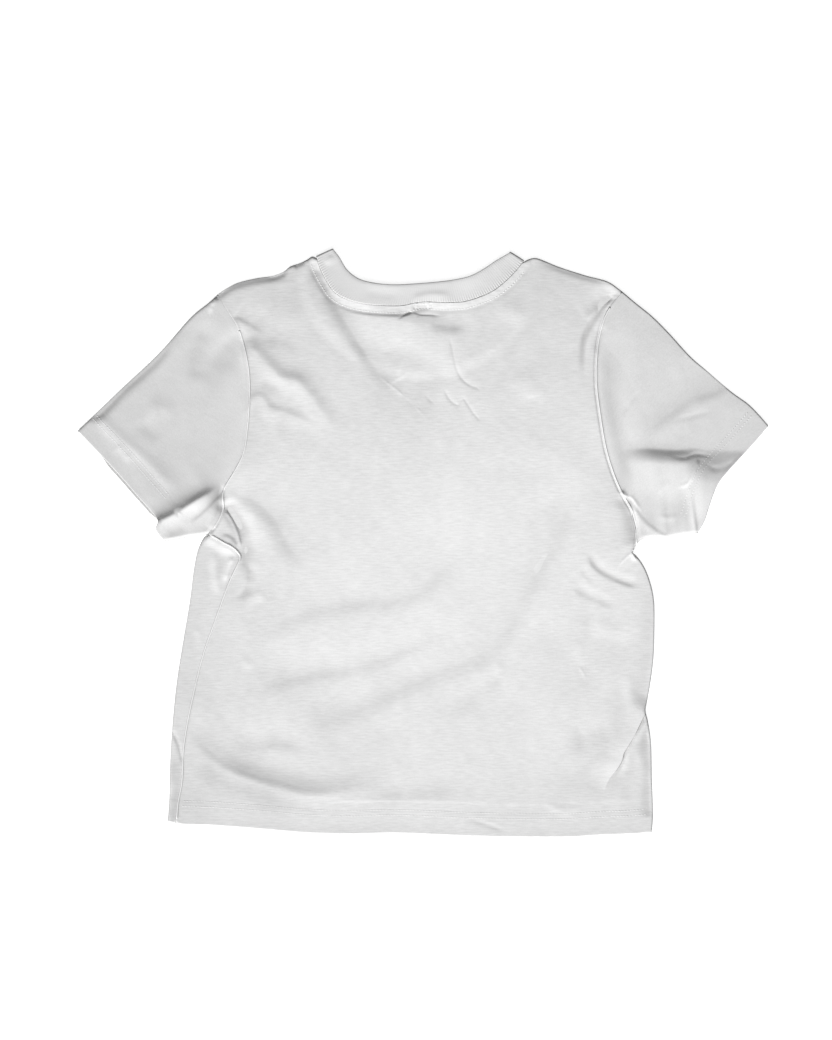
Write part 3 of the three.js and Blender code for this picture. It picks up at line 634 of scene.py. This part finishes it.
def sheetFaces(loop, top, bottom, guided=()):
    # a closed shell of cloth: a fine upper face, a plain underside, one shared rim
    closed, fine = closedUp(loop), mesh["fine"]
    grid, cells = gridIn(loop, fine)
    keep = insideOf(grid, loop)
    keep[keep] = gapTo(grid[keep], closed, mesh["look"]) > mesh["rings"][-1] + mesh["gridFrom"]
    extra = np.zeros((0, 2))
    if len(guided):
        extra = np.vstack(guided)
        extra = extra[insideOf(extra, loop)]
        extra = extra[gapTo(extra, closed, mesh["look"]) > mesh["rings"][-1] + mesh["guideFrom"]]
        for guide in guided:
            keep[keep] = gapTo(grid[keep], guide, 1) > mesh["guideGap"] * fine
    height = np.zeros(len(grid))
    height[keep] = top(grid[keep])
    h, known = height.reshape(cells), keep.reshape(cells)
    i, j = np.indices(h.shape)
    chosen = known & (creasedCells(h, known) | ((i % 2 == 0) & (j % 2 == 0)))
    inner = np.vstack([ringsIn(loop, mesh["rings"]), grid[chosen.ravel()], extra])
    upper, upperFaces = triangulate(loop, inner)

    hidden, _ = gridIn(loop, mesh["hidden"])
    hidden = hidden[insideOf(hidden, loop)]
    hidden = hidden[gapTo(hidden, closed, mesh["look"]) > mesh["hiddenFrom"]]
    lower, lowerFaces = triangulate(loop, np.vstack([ringsIn(loop[::2], mesh["hiddenRings"]), hidden]))

    rim = len(loop)
    upperZ, lowerZ = top(upper), bottom(lower)
    points = np.vstack([np.column_stack([upper, upperZ]), np.column_stack([lower, lowerZ])[rim:]])
    shift = len(upper) - rim
    lowerFaces = [tuple(v if v < rim else v + shift for v in reversed(f)) for f in lowerFaces]
    # how far each point lies below the cloth round it, less so close to the rim: painted as shade where it
    # lies low and as highlight where it stands proud
    inward = smoothStep((gapTo(upper, closed, mesh["look"]) - mesh["rimWidth"]) / mesh["rimFade"])
    around = sampled(blurred(h, known, mesh["around"] / fine), (upper - loop.min(0)) / fine)
    paintedShading = np.clip(around - upperZ, -mesh["inside"] * inward, mesh["atRim"] + mesh["inside"] * inward)
    return points, upperFaces + lowerFaces, np.concatenate([paintedShading, np.zeros(len(lower) - rim)])


def makeObject(name, parts, material):
    points, faces, paintedShading = [], [], []
    for p, f, *paintedDepthShade in parts:
        start = sum(len(q) for q in points)
        points.append(p)
        faces += [tuple(v + start for v in face) for face in f]
        paintedShading.append(paintedDepthShade[0] if paintedDepthShade else np.zeros(len(p)))
    data = bpy.data.meshes.new(name)
    data.from_pydata((np.vstack(points) * mm).tolist(), [], faces)
    # each point's painted shading rides on the mesh as an attribute
    data.attributes.new("paintedShading", "FLOAT", "POINT").data.foreach_set("value", np.concatenate(paintedShading))
    data.validate()
    data.shade_smooth()
    data.materials.append(material)
    piece = place(name, data)
    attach(piece, "root")
    return piece


def loopOf(*paths):
    # one closed run, counter-clockwise, from lines given end to end
    joined = np.vstack([path[:-1] for path in paths])
    x, y = joined.T
    turn = (x * np.roll(y, -1) - y * np.roll(x, -1)).sum()
    return joined if turn > 0 else joined[::-1]


knit = dict(
    slant=1.6, loopShare=0.35, streakStretch=(0.15, 1, 0),
    noise=dict(streak=(1.5, 3), blotch=(17, 3), fuzz=(1.1, 3), crumple=(8, 2)),       # size in mm, detail
    relief=dict(loops=0.5, fuzz=0.6, streaks=1.3, crumple=4),
)
finish = dict(
    roughness=0.93, specular=0.2, sheen=0.03, sheenRoughness=0.6,
    paintedHighlight=0.35, paintedDepthShade=0.14, mostPaintedShade=0.5,                     # how much painted shade and painted highlight the folds put on the cloth
    # painted shade on faces seen edge-on, and the dark colour that all painted shade goes towards
    paintedEdgeShadeRange=(0.12, 0.62), paintedEdgeShade=0.3, shadow=(0.3, 0.29, 0.28),
)


def nodeGroup(name, inputs, outputs):
    group = bpy.data.node_groups.new(name, "ShaderNodeTree")
    for label, value in inputs.items():
        socket = group.interface.new_socket(label, in_out="INPUT", socket_type="NodeSocketFloat")
        socket.default_value = value
    for label in outputs:
        group.interface.new_socket(label, in_out="OUTPUT", socket_type="NodeSocketFloat")
    return group, group.nodes.new("NodeGroupInput").outputs, group.nodes.new("NodeGroupOutput").inputs


def noiseNode(tree, spot, size, detail):
    node = tree.nodes.new("ShaderNodeTexNoise")
    tree.links.new(spot, node.inputs["Vector"])
    setInputs(node, {"Scale": 1 / size, "Detail": detail})
    return node.outputs["Fac"]


def vectorNode(tree, operation, first):
    node = tree.nodes.new("ShaderNodeVectorMath")
    node.operation = operation
    tree.links.new(first, node.inputs[0])
    return node


def makeKnitGroup():
    # plain jersey: columns of V loops, faint streaks along the rows, and a soft blotchiness
    group, given, made = nodeGroup("jerseyKnit", bodyKnit, ("Shade", "Height"))

    def times(a, b):
        return mathNode(group, "MULTIPLY", a, b)

    def plus(a, b):
        return mathNode(group, "ADD", a, b)

    def less(a, b):
        return mathNode(group, "SUBTRACT", a, b)

    millimetres = vectorNode(group, "SCALE", group.nodes.new("ShaderNodeTexCoord").outputs["Object"])
    millimetres.inputs["Scale"].default_value = 1000
    turned = group.nodes.new("ShaderNodeVectorRotate")
    turned.rotation_type = "Z_AXIS"
    group.links.new(millimetres.outputs[0], turned.inputs["Vector"])
    group.links.new(given["Grain"], turned.inputs["Angle"])
    flat = turned.outputs[0]
    apart = group.nodes.new("ShaderNodeSeparateXYZ")
    group.links.new(flat, apart.inputs[0])
    wale = mathNode(group, "DIVIDE", apart.outputs["X"], given["Wale Width"])
    row = mathNode(group, "DIVIDE", apart.outputs["Y"], given["Row Height"])
    fromMiddle = mathNode(group, "ABSOLUTE", less(mathNode(group, "FRACT", wale), 0.5))
    loops = mathNode(group, "SINE", times(plus(row, times(fromMiddle, knit["slant"])), 2 * math.pi))
    ridge = mathNode(group, "SINE", times(fromMiddle, 2 * math.pi))
    loopHeight = times(plus(times(loops, knit["loopShare"]), 1 - knit["loopShare"]), ridge)
    stretched = vectorNode(group, "MULTIPLY", flat)
    stretched.inputs[1].default_value = knit["streakStretch"]
    streak, blotch, fuzz, crumple = (
        noiseNode(group, stretched.outputs[0] if name == "streak" else flat, size, detail)
        for name, (size, detail) in knit["noise"].items())
    patches = [times(less(noise, 0.5), given[label])
               for noise, label in ((streak, "Streaks"), (blotch, "Blotches"), (fuzz, "Fuzz"))]
    group.links.new(plus(plus(plus(patches[0], patches[1]), 0.5), patches[2]), made["Shade"])
    c = knit["relief"]
    uneven = plus(times(streak, c["streaks"]), times(crumple, c["crumple"]))
    raised = plus(times(loopHeight, c["loops"]), plus(times(fuzz, c["fuzz"]), uneven))
    group.links.new(raised, made["Height"])
    return group


def makePaintedShadingGroup():
    # painted shade and highlight: cloth that lies below its surroundings is painted darker, and cloth
    # standing proud is painted lighter
    inputs = {"Shade": 0.5, "Painted Highlight": finish["paintedHighlight"], "Painted Shade": finish["paintedDepthShade"]}
    group, given, made = nodeGroup("paintedFoldShading", inputs, ("Shade", "Shadow"))
    attribute = group.nodes.new("ShaderNodeAttribute")
    attribute.attribute_name = "paintedShading"
    paintedShading = attribute.outputs["Fac"]
    change = mathNode(group, "MULTIPLY", paintedShading, given["Painted Highlight"])
    group.links.new(mathNode(group, "SUBTRACT", given["Shade"], change), made["Shade"])
    shadow = mathNode(group, "MULTIPLY", mathNode(group, "MAXIMUM", paintedShading, 0.0), given["Painted Shade"])
    group.links.new(mathNode(group, "MINIMUM", shadow, finish["mostPaintedShade"]), made["Shadow"])
    return group


def groupNode(tree, group, values):
    node = tree.nodes.new("ShaderNodeGroup")
    node.node_tree = group
    setInputs(node, values)
    return node


def colourMix(tree, values):
    node = tree.nodes.new("ShaderNodeMix")
    node.data_type = "RGBA"
    setInputs(node, values)
    return node


def cloth(name, greys, changes, bump):
    # greys are the darkest and lightest shades of the yarn, bump its relief in mm
    dark, light = greys
    material = bpy.data.materials.new(name)
    material.use_nodes = True
    tree = material.node_tree
    shader = tree.nodes["Principled BSDF"]
    setInputs(shader, {"Roughness": finish["roughness"], "Specular IOR Level": finish["specular"],
                       "Sheen Weight": finish["sheen"], "Sheen Roughness": finish["sheenRoughness"]})
    knitted = groupNode(tree, knitGroup, {**bodyKnit, **changes})
    mixed = colourMix(tree, {"A": (dark,) * 3, "B": (light,) * 3})
    # painted fold shade and highlight go into the colour
    folds = groupNode(tree, paintedShadingGroup, {})
    tree.links.new(knitted.outputs["Shade"], folds.inputs["Shade"])
    tree.links.new(folds.outputs["Shade"], mixed.inputs["Factor"])
    seen = tree.nodes.new("ShaderNodeLayerWeight")          # painted shade: cloth seen edge-on is painted darker
    steepness = tree.nodes.new("ShaderNodeMapRange")
    steepness.interpolation_type = "SMOOTHSTEP"
    setInputs(steepness, {"From Min": finish["paintedEdgeShadeRange"][0], "From Max": finish["paintedEdgeShadeRange"][1],
                          "To Max": finish["paintedEdgeShade"]})
    tree.links.new(seen.outputs["Facing"], steepness.inputs["Value"])
    paintedShadeMix = colourMix(tree, {"B": finish["shadow"]})
    paintedShadeAmount = mathNode(tree, "ADD", steepness.outputs["Result"], folds.outputs["Shadow"])
    tree.links.new(paintedShadeAmount, paintedShadeMix.inputs["Factor"])
    tree.links.new(mixed.outputs["Result"], paintedShadeMix.inputs["A"])
    tree.links.new(paintedShadeMix.outputs["Result"], shader.inputs["Base Color"])
    relief = tree.nodes.new("ShaderNodeBump")
    setInputs(relief, {"Strength": 1, "Distance": bump * mm})
    tree.links.new(knitted.outputs["Height"], relief.inputs["Height"])
    tree.links.new(relief.outputs["Normal"], shader.inputs["Normal"])
    return material


bodyKnit = {"Grain": 0.0, "Wale Width": 0.8, "Row Height": 0.6, "Streaks": 1.2, "Blotches": 0.34,
            "Fuzz": 0.5}
sleeveGrain = 46                        # degrees: the knit lies another way there; the sleeves' greys are a little darker as painted shade
knitGroup, paintedShadingGroup = makeKnitGroup(), makePaintedShadingGroup()
jersey = cloth("offWhiteJersey", (0.705, 0.91), {}, 0.035)
# darker copies of the jersey: painted shade on the sleeves
leftSleeveShadedJersey, rightSleeveShadedJersey = (
    cloth("offWhiteJersey" + side, (0.685, 0.885),
          {"Grain": math.radians(grain), "Streaks": 0.3, "Fuzz": 0.9}, 0.035)
    for side, grain in (("LeftSleeveShaded", sleeveGrain), ("RightSleeveShaded", -sleeveGrain)))
ribbed = cloth("offWhiteRib", (0.83, 0.93), {"Wale Width": 0.9, "Streaks": 0.1, "Blotches": 0.4}, 0.03)
# the thread colour also goes on the seam rolls, as a painted highlight
threadAndSeamHighlight = cloth("sewingThreadAndSeamHighlight", (0.92, 0.98),
               {"Wale Width": 0.5, "Row Height": 0.4, "Streaks": 0.0, "Blotches": 0.8}, 0.02)

drawn = {name: smoothLine(points, mesh["rim"]) for name, points in outline.items()}
edgeRadius = dict(fold=3.2, thin=1.5, hem=0.8, seam=0.8)
edgeDrop = dict(fold=20, hem=1.3, seam=0.22, sewn=0.08)
rowsIn = dict(hem=(17.6, 22.6), cuff=(19.0, 23.6), furrow=0.06, furrowWidth=0.8)      # rows of stitching
sleeveFade, stripFade, backFade = 12, 6, 14         # how far folds run on past a seam on to the next piece

# the cloth slopes down from the neck seam over its allowance, then swells up again below it
neckBand = dict(width=8.2, rise=1.25, pucker=0.07, puckerPitch=6.3, drift=17, drifting=1.5, length=215,
                swell=0.85, steepness=3.9, swellFor=12, fade=34, weakest=0.3,
                strongFrom=0.18, growing=0.14, strongTo=0.56, fading=0.1, reach=50)
# the allowances under a seam lie to its right, as walked: a low ridge there, and a dip on the other side
seamForms = dict(
    leftArmhole=dict(ridge=0.36, dip=0.05, ends=(0.03, 0.24)),
    rightArmhole=dict(ridge=0.27, dip=0.7, ends=(0.03, 0.1)),
    sideSeam=dict(ridge=0.4, dip=0.0, ends=(0.02, 0.02)),
)
seamShape = dict(ridgeAt=0.9, dipAt=0.8, width=0.9, reach=6)


def bandHeight(xy):
    c = neckBand
    away, along = nearest(xy, drawn["neck"], c["reach"] + 2)
    depth, run = -away, along * c["length"]
    drifting = c["drifting"] * np.sin(run / c["drift"])
    pucker = c["pucker"] * np.sin(2 * math.pi * run / c["puckerPitch"] + drifting)
    band = (c["rise"] + pucker) * np.clip(1 - depth / c["width"], 0, 1)
    strong = (smoothStep((along - c["strongFrom"]) / c["growing"])
              * smoothStep((c["strongTo"] - along) / c["fading"]))
    below = (smoothStep((depth - c["width"] + 1) / c["steepness"])
             * (1 - smoothStep((depth - c["swellFor"]) / c["fade"])))
    return (band + c["swell"] * (c["weakest"] + strong) * below) * (np.abs(away) < c["reach"])


def seamForm(xy, seam):
    c, form = seamForms[seam], seamShape
    away, along = nearest(xy, drawn[seam], form["reach"])
    strength = smoothStep(along / c["ends"][0]) * smoothStep((1 - along) / c["ends"][1])
    ridge = c["ridge"] * np.exp(-((away + form["ridgeAt"]) / form["width"]) ** 2)
    dip = c["dip"] * np.exp(-((away - form["dipAt"]) / form["width"]) ** 2)
    return (ridge - dip) * strength * (np.abs(away) < form["reach"])


def furrows(xy, rows):
    # each row of stitching pulls the cloth in along a shallow furrow
    depths = (np.exp(-(gapTo(xy, row, 4) / rowsIn["furrowWidth"]) ** 2) for row in rows)
    return -sum(rowsIn["furrow"] * depth for depth in depths)


def rowGuides(rows):
    return [offset(row, away) for row in rows for away in guides["stitching"]]


rightEdges = drawn["rightSide"], drawn["rightArmhole"], drawn["rightShoulder"]
leftEdges = drawn["leftShoulder"], drawn["leftArmhole"][::-1]
corner = drawn["sideSeam"][0]
backHem = np.vstack([corner, drawn["hem"][drawn["hem"][:, 0] > corner[0] + 0.5]])
stripHem = np.vstack([drawn["hem"][drawn["hem"][:, 0] < corner[0] - 0.5], corner])
hemRows = [offset(backHem, away) for away in rowsIn["hem"]]
backFolds = bodyFolds + sideRolls + shoulderRoll


def backTop(xy):
    edges = [(backHem, edgeDrop["hem"], edgeRadius["hem"]),
             (drawn["leftShoulder"], edgeDrop["fold"], edgeRadius["fold"]),
             (drawn["neck"], edgeDrop["seam"], edgeRadius["seam"]),
             (drawn["rightShoulder"], edgeDrop["fold"], edgeRadius["thin"]),
             (drawn["rightSide"], edgeDrop["fold"], edgeRadius["thin"])]
    height = upperLevel(xy) + foldHeight(xy, backFolds) + bandHeight(xy) + furrows(xy, hemRows)
    for seam, folds, fade in (("leftArmhole", leftSleeveFolds, sleeveFade),
                              ("rightArmhole", rightSleeveFolds, sleeveFade),
                              ("sideSeam", leftStripFolds, stripFade)):
        height += carriedOver(xy, drawn[seam], folds, fade)
    for seam in seamForms:
        height += seamForm(xy, seam)
    return roundedOff(xy, height, edges)


def makeBack():
    loop = loopOf(backHem, *rightEdges, drawn["neck"][::-1], *leftEdges, drawn["sideSeam"][::-1])

    def bottom(xy):
        return levels["under"] + levels["underShare"] * np.maximum(upperLevel(xy) - levels["underFrom"], 0)

    guided = guideLines(backFolds) + rowGuides(hemRows)
    return makeObject("backPanel", [sheetFaces(loop, backTop, bottom, guided)], jersey)


back = makeBack()
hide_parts("back_panel")
print("back", len(back.data.polygons))

# the layer that lies on the surface, its rim lifted to meet the layer above
lowerLayer = dict(
    mesh=dict(fine=6, rings=(0.6, 1.6, 3.2), hidden=9),
    paintedShade=1.1,                                   # painted shade: it lies in the shade of the layer above
    liesAt=0.02, rimLift=0.3, rimWidth=2,
    folded=(levels["fold"] - 0.1, edgeRadius["fold"]), sewn=(0.8, 1.5), cuff=(1.25, 5),    # level, radius
)


def lowerSheet(loop, edges):
    c = lowerLayer

    def top(xy):
        height = np.full(len(xy), levels["cloth"])
        for path, (level, radius) in edges:
            away = gapTo(xy, path, radius + 1)
            height += (level - height) * (1 - np.clip(away / radius, 0, 1)) ** 2
        return height

    def bottom(xy):
        away = gapTo(xy, closedUp(loop), 4)
        return c["liesAt"] + c["rimLift"] * (1 - np.clip(away / c["rimWidth"], 0, 1)) ** 2

    saved = dict(mesh)
    mesh.update(c["mesh"])
    points, faces, paintedShading = sheetFaces(loop, top, bottom)
    mesh.update(saved)
    # the whole lower sheet carries one fixed painted shade
    return points, faces, np.full(len(paintedShading), c["paintedShade"])


def stripTop(xy):
    edges = [(drawn["leftFold"], edgeDrop["fold"], edgeRadius["fold"]),
             (stripHem, edgeDrop["hem"], edgeRadius["hem"]),
             (drawn["sideSeam"], edgeDrop["sewn"], edgeRadius["seam"])]
    height = upperLevel(xy) + foldHeight(xy, leftStripFolds)
    height += carriedOver(xy, drawn["sideSeam"], backFolds, backFade)
    return roundedOff(xy, height + seamForm(xy, "sideSeam"), edges)


def makeFront():
    # it lies underneath, and a strip of it comes round the left fold to the side seam
    loop = loopOf(drawn["hem"], *rightEdges, frontNeckSeam[::-1], *leftEdges, drawn["leftFold"][::-1])
    sewn = ("hem", "rightSide", "rightArmhole", "leftArmhole", "rightShoulder", "leftShoulder")
    under = lowerSheet(loop, [(drawn[name], lowerLayer["sewn"]) for name in sewn]
                       + [(drawn["leftFold"], lowerLayer["folded"])])
    strip = loopOf(stripHem, drawn["sideSeam"], drawn["leftFold"][::-1])

    def bottom(xy):
        return np.full(len(xy), levels["fold"])

    upper = sheetFaces(strip, stripTop, bottom, guideLines(leftStripFolds))
    return makeObject("frontPanel", [under, upper], jersey)


front = makeFront()
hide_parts("front_panel")
print("front", len(front.data.polygons))

# folds die away at the freeCuff share of the cuff, and peek is how the lower layer shows past it
sleeveLay = dict(
    left=dict(edges=leftSleeveEdges, folds=leftSleeveFolds, armhole="leftArmhole", topEdge="fold",
              freeCuff=0.55, peek=dict(width=2.2, start=0.22, end=0.86, fade=0.12)),
    right=dict(edges=rightSleeveEdges, folds=rightSleeveFolds, armhole="rightArmhole", topEdge="thin",
               freeCuff=0.2, peek=None),
    settled=0.15, settling=15,
)


def sleeveLoop(armhole, paths, cuff):
    return loopOf(armhole[::-1], paths["underarm"], cuff[::-1], paths["top"][::-1])


def sleeveTop(c):
    paths = {name: smoothLine(points, mesh["rim"]) for name, points in c["edges"].items()}
    cuff, armhole = paths["cuff"], drawn[c["armhole"]]
    rounded = [(paths["top"], edgeDrop["fold"], edgeRadius[c["topEdge"]]),
               (paths["underarm"], edgeDrop["fold"], edgeRadius["fold"]),
               (cuff, edgeDrop["hem"], edgeRadius["hem"]), (armhole, edgeDrop["sewn"], edgeRadius["seam"])]
    middle = len(cuff) // 2
    inward = 1 if insideOf(offset(cuff, 5)[middle:middle + 1], sleeveLoop(armhole, paths, cuff))[0] else -1
    rows = [offset(cuff, inward * away) for away in rowsIn["cuff"]]
    freeCuff = cuff[:int(len(cuff) * c["freeCuff"])]
    settled, settling = sleeveLay["settled"], sleeveLay["settling"]

    def top(xy):
        kept = settled + (1 - settled) * smoothStep(gapTo(xy, freeCuff, settling + 1) / settling)
        height = upperLevel(xy) + foldHeight(xy, c["folds"]) * kept + furrows(xy, rows)
        height += seamForm(xy, c["armhole"])
        return roundedOff(xy, height + carriedOver(xy, armhole, backFolds, sleeveFade), rounded)

    return paths, rows, top


def makeSleeve(name, c, material):
    paths, rows, top = sleeveTop(c)
    armhole, lowerCuff, peek = drawn[c["armhole"]], paths["cuff"], c["peek"]

    def bottom(xy):
        return np.full(len(xy), levels["under"])

    if peek:
        share = np.linspace(0, 1, len(lowerCuff))
        out = (peek["width"] * smoothStep((share - peek["start"]) / peek["fade"])
               * smoothStep((peek["end"] - share) / peek["fade"]))
        lowerCuff = lowerCuff - (offset(lowerCuff, 1) - lowerCuff) * out[:, None]
    under = lowerSheet(sleeveLoop(armhole, paths, lowerCuff),
                       [(lowerCuff, lowerLayer["cuff"]), (armhole, lowerLayer["sewn"]),
                        (paths["top"], lowerLayer["folded"]), (paths["underarm"], lowerLayer["folded"])])
    guided = guideLines(c["folds"]) + rowGuides(rows)
    upper = sheetFaces(sleeveLoop(armhole, paths, paths["cuff"]), top, bottom, guided)
    return makeObject(name, [upper, under], material)


leftSleeve = makeSleeve("leftSleeve", sleeveLay["left"], leftSleeveShadedJersey)
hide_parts("left_sleeve")
rightSleeve = makeSleeve("rightSleeve", sleeveLay["right"], rightSleeveShadedJersey)
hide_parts("right_sleeve")
print("sleeves", len(leftSleeve.data.polygons), len(rightSleeve.data.polygons))

rib = dict(
    thickness=1.7, ribs=2.1, ribHeight=0.13, seamShare=0.3, weakRibs=0.15,
    stations=dict(back=640, turn=7, front=260), across=16, under=6,
    back=dict(below=1.35, tipShare=0.12, lean=0.1), front=0.9,     # sewn on a little below the back's edge
    sewnEdge=60, looseEdge=16,                                     # how square the two edges are
    # painted shade on the rib: a dark line at the seam and a darker half beside it
    paintedShade=dict(seam=0.6, seamWidth=0.055, body=0.5, bodyWidth=0.7),
)
ribFolds = [
    fold(0.9, 3.2, 14, (0.2, 0.4), (-14, 231), (-8, 233.5), (0, 236.5), (10, 238), (22, 237.3), (32, 235)),
    fold(0.5, 4, 3, 0.3, (-86, 276), (-94, 268)),
    fold(-0.4, 7, 5, (0.3, 0.4), (-60, 242), (-30, 238), (-14, 240)),
]


def ribStations():
    # round the ring: along the back, over one shoulder, along the front, over the other shoulder
    c, n = rib, rib["stations"]
    seams, edges = [evenCount(drawn["neck"], n["back"])], [evenCount(drawn["neckEdge"], n["back"])]
    backLevel = upperLevel(seams[0]) + neckBand["rise"] - c["back"]["below"]
    level, turn, out = [backLevel], [np.zeros(n["back"])], [np.zeros((n["back"], 2))]
    for end, sign in ((-1, 1), (0, -1)):
        seam, edge = seams[0][end], edges[0][end]
        way = np.array([-(edge - seam)[1], (edge - seam)[0]])
        way = -sign * way / np.hypot(*way)
        angle = np.linspace(0, math.pi, n["turn"] + 2)[1:-1]
        if end == 0:
            angle = angle[::-1]
            seams.append(evenCount(frontNeckSeam[::-1], n["front"]))
            edges.append(evenCount(frontNeckEdge[::-1], n["front"]))
            level.append(np.full(n["front"], c["front"]))
            turn.append(np.full(n["front"], math.pi))
            out.append(np.zeros((n["front"], 2)))
        seams.append(np.repeat([seam], n["turn"], 0))
        edges.append(np.repeat([edge], n["turn"], 0))
        half = (backLevel[end] - c["front"]) / 2
        level.append(c["front"] + half * (1 + np.cos(angle)))
        turn.append(angle)
        out.append(way * (half * np.sin(angle))[:, None])
    return [np.concatenate(v) for v in (seams, edges, level, turn, out)]


def makeRib():
    c, n, paintedShade = rib, rib["stations"], rib["paintedShade"]
    seams, edges, level, turn, out = ribStations()
    walked = walkedAlong((seams + edges) / 2)
    share = np.linspace(0, 1, n["back"])
    tip = smoothStep(1 - np.minimum(share, 1 - share) / c["back"]["tipShare"])
    lean = np.zeros(len(seams))
    lean[:n["back"]] = c["back"]["lean"] * (1 - tip)

    over = np.concatenate([[0, 0.006, 0.02], np.linspace(0.05, 0.95, c["across"] - 6), [0.98, 0.994, 1]])
    v = np.concatenate([over, np.linspace(1, 0, c["under"] + 1)[1:-1]])
    upside = np.arange(len(v)) < c["across"]
    square = np.where(v < 0.5, c["sewnEdge"], c["looseEdge"])
    plump = np.sqrt(np.clip(1 - (2 * np.abs(v - 0.5)) ** square, 0, 1)) * c["thickness"] / 2
    points = np.zeros((len(seams), len(v), 3))
    outward = out / np.maximum(np.hypot(*out.T), 1e-9)[:, None]
    for k, share in enumerate(v):
        xy = seams + (edges - seams) * share + out
        ribs = np.cos(2 * math.pi * walked / c["ribs"]) * c["ribHeight"]
        ribs = ribs * (c["weakRibs"] + (1 - c["weakRibs"]) * (1 - smoothStep(share / c["seamShare"])))
        lift = (plump[k] + ribs * (plump[k] > 0.5)) * (1 if upside[k] else -1)
        folded = foldHeight(xy, ribFolds) * (turn == 0) * math.sin(math.pi * min(share * 1.6, 1) / 2)
        points[:, k, :2] = xy + outward * (lift * np.sin(turn))[:, None]
        points[:, k, 2] = level + lift * np.cos(turn) + folded + lean * (1 - 2 * share)
    count, around = points.shape[:2]
    faces = []
    for a in range(count):
        b = (a + 1) % count
        for k in range(around):
            m = (k + 1) % around
            faces.append((a * around + k, b * around + k, b * around + m, a * around + m))
    paintedRibShade = (paintedShade["seam"] * np.exp(-(v / paintedShade["seamWidth"]) ** 2)
              + paintedShade["body"] * (1 - smoothStep(v / paintedShade["bodyWidth"])))       # painted shade, darker towards the back
    paintedShading = np.tile(np.where(upside, paintedRibShade, 0), count)
    return makeObject("neckRib", [(points.reshape(-1, 3), faces, paintedShading)], ribbed)


neckRib = makeRib()
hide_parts("neck_rib")
print("rib", len(neckRib.data.polygons))

sewing = dict(
    length=2.1, gap=0.8, width=0.38, height=0.2, start=0.6, step=0.25, ahead=0.4,
    stations=((0, 0.35), (0.18, 0.95), (0.5, 1.1), (0.82, 0.95), (1, 0.35)),       # share along, thickness
    around=6, neckRow=6.6,
    cord=dict(width=0.8, height=0.22, step=1.0, aside=-0.8),
    tacking=((-8.6, 225), (7.7, 225.6), (7.7, 230.2), (-8.6, 229.6), (-8.6, 225)),
)


def tubeFaces(start, rings):
    # the faces round a run of rings of points, and one over each end
    n = sewing["around"]
    faces = [tuple(start + n * r + v for v in (k, (k + 1) % n, n + (k + 1) % n, n + k))
             for r in range(rings - 1) for k in range(n)]
    last = start + n * (rings - 1)
    return faces + [tuple(start + k for k in reversed(range(n))), tuple(last + k for k in range(n))]


def ringAngles():
    return np.arange(sewing["around"]) * 2 * math.pi / sewing["around"]


def stitchRow(path, height):
    c = sewing
    path = evenly(path, c["step"])
    walked = walkedAlong(path)
    starts = np.arange(c["start"], walked[-1] - c["length"], c["length"] + c["gap"])
    rings = []
    for share, fat in c["stations"]:
        at = starts + share * c["length"]
        xy = pointsAt(path, walked, at)
        way = pointsAt(path, walked, at + c["ahead"]) - xy
        way /= np.maximum(np.hypot(*way.T), 1e-6)[:, None]
        across = np.column_stack([-way[:, 1], way[:, 0]])
        z = height(xy)
        for angle in ringAngles():
            side = math.cos(angle) * c["width"] * fat
            rings.append(np.column_stack([xy + across * side, z + math.sin(angle) * c["height"] * fat]))
    faces = [face for s in range(len(starts)) for face in tubeFaces(s * len(rings), len(c["stations"]))]
    return np.stack(rings, 1).reshape(-1, 3), faces


def cord(path, height):
    # a low rounded roll of cloth along a seam, later given the lighter thread colour as a painted highlight
    c = sewing["cord"]
    path = evenly(path, c["step"])
    z = height(path)
    rings = [np.column_stack([offset(path, math.cos(a) * c["width"]), z + math.sin(a) * c["height"]])
             for a in ringAngles()]
    return np.stack(rings, 1).reshape(-1, 3), tubeFaces(0, len(path))


def inside(path, start, end):
    return path[int(len(path) * start):int(len(path) * end)]


def makeSewing():
    _, leftRows, leftTop = sleeveTop(sleeveLay["left"])
    _, rightRows, rightTop = sleeveTop(sleeveLay["right"])
    neckRows = [offset(drawn["neck"], -sewing["neckRow"])]
    for name, rows, start, end, top in (("hemStitching", hemRows, 0.008, 0.995, backTop),
                                        ("leftCuffStitching", leftRows, 0.02, 0.76, leftTop),
                                        ("rightCuffStitching", rightRows, 0.03, 0.95, rightTop),
                                        ("neckStitching", neckRows, 0.02, 0.98, backTop)):
        makeObject(name, [stitchRow(inside(row, start, end), top) for row in rows], threadAndSeamHighlight)
    beside = {seam: offset(drawn[seam], sewing["cord"]["aside"]) for seam in seamForms}
    # the seam rolls are cloth in the lighter thread colour: a painted highlight along each seam
    makeObject("seamRollsPaintedHighlight", [cord(inside(beside["leftArmhole"], 0.04, 0.84), backTop),
                             cord(inside(beside["rightArmhole"], 0.03, 0.93), rightTop),
                             cord(beside["sideSeam"][2:-3], backTop)], threadAndSeamHighlight)
    box = sewing["tacking"]
    boxRows = [stitchRow(np.array(box[k:k + 2], float), backTop) for k in range(4)]
    makeObject("labelTacking", boxRows, threadAndSeamHighlight)


makeSewing()
print("sewing ready")
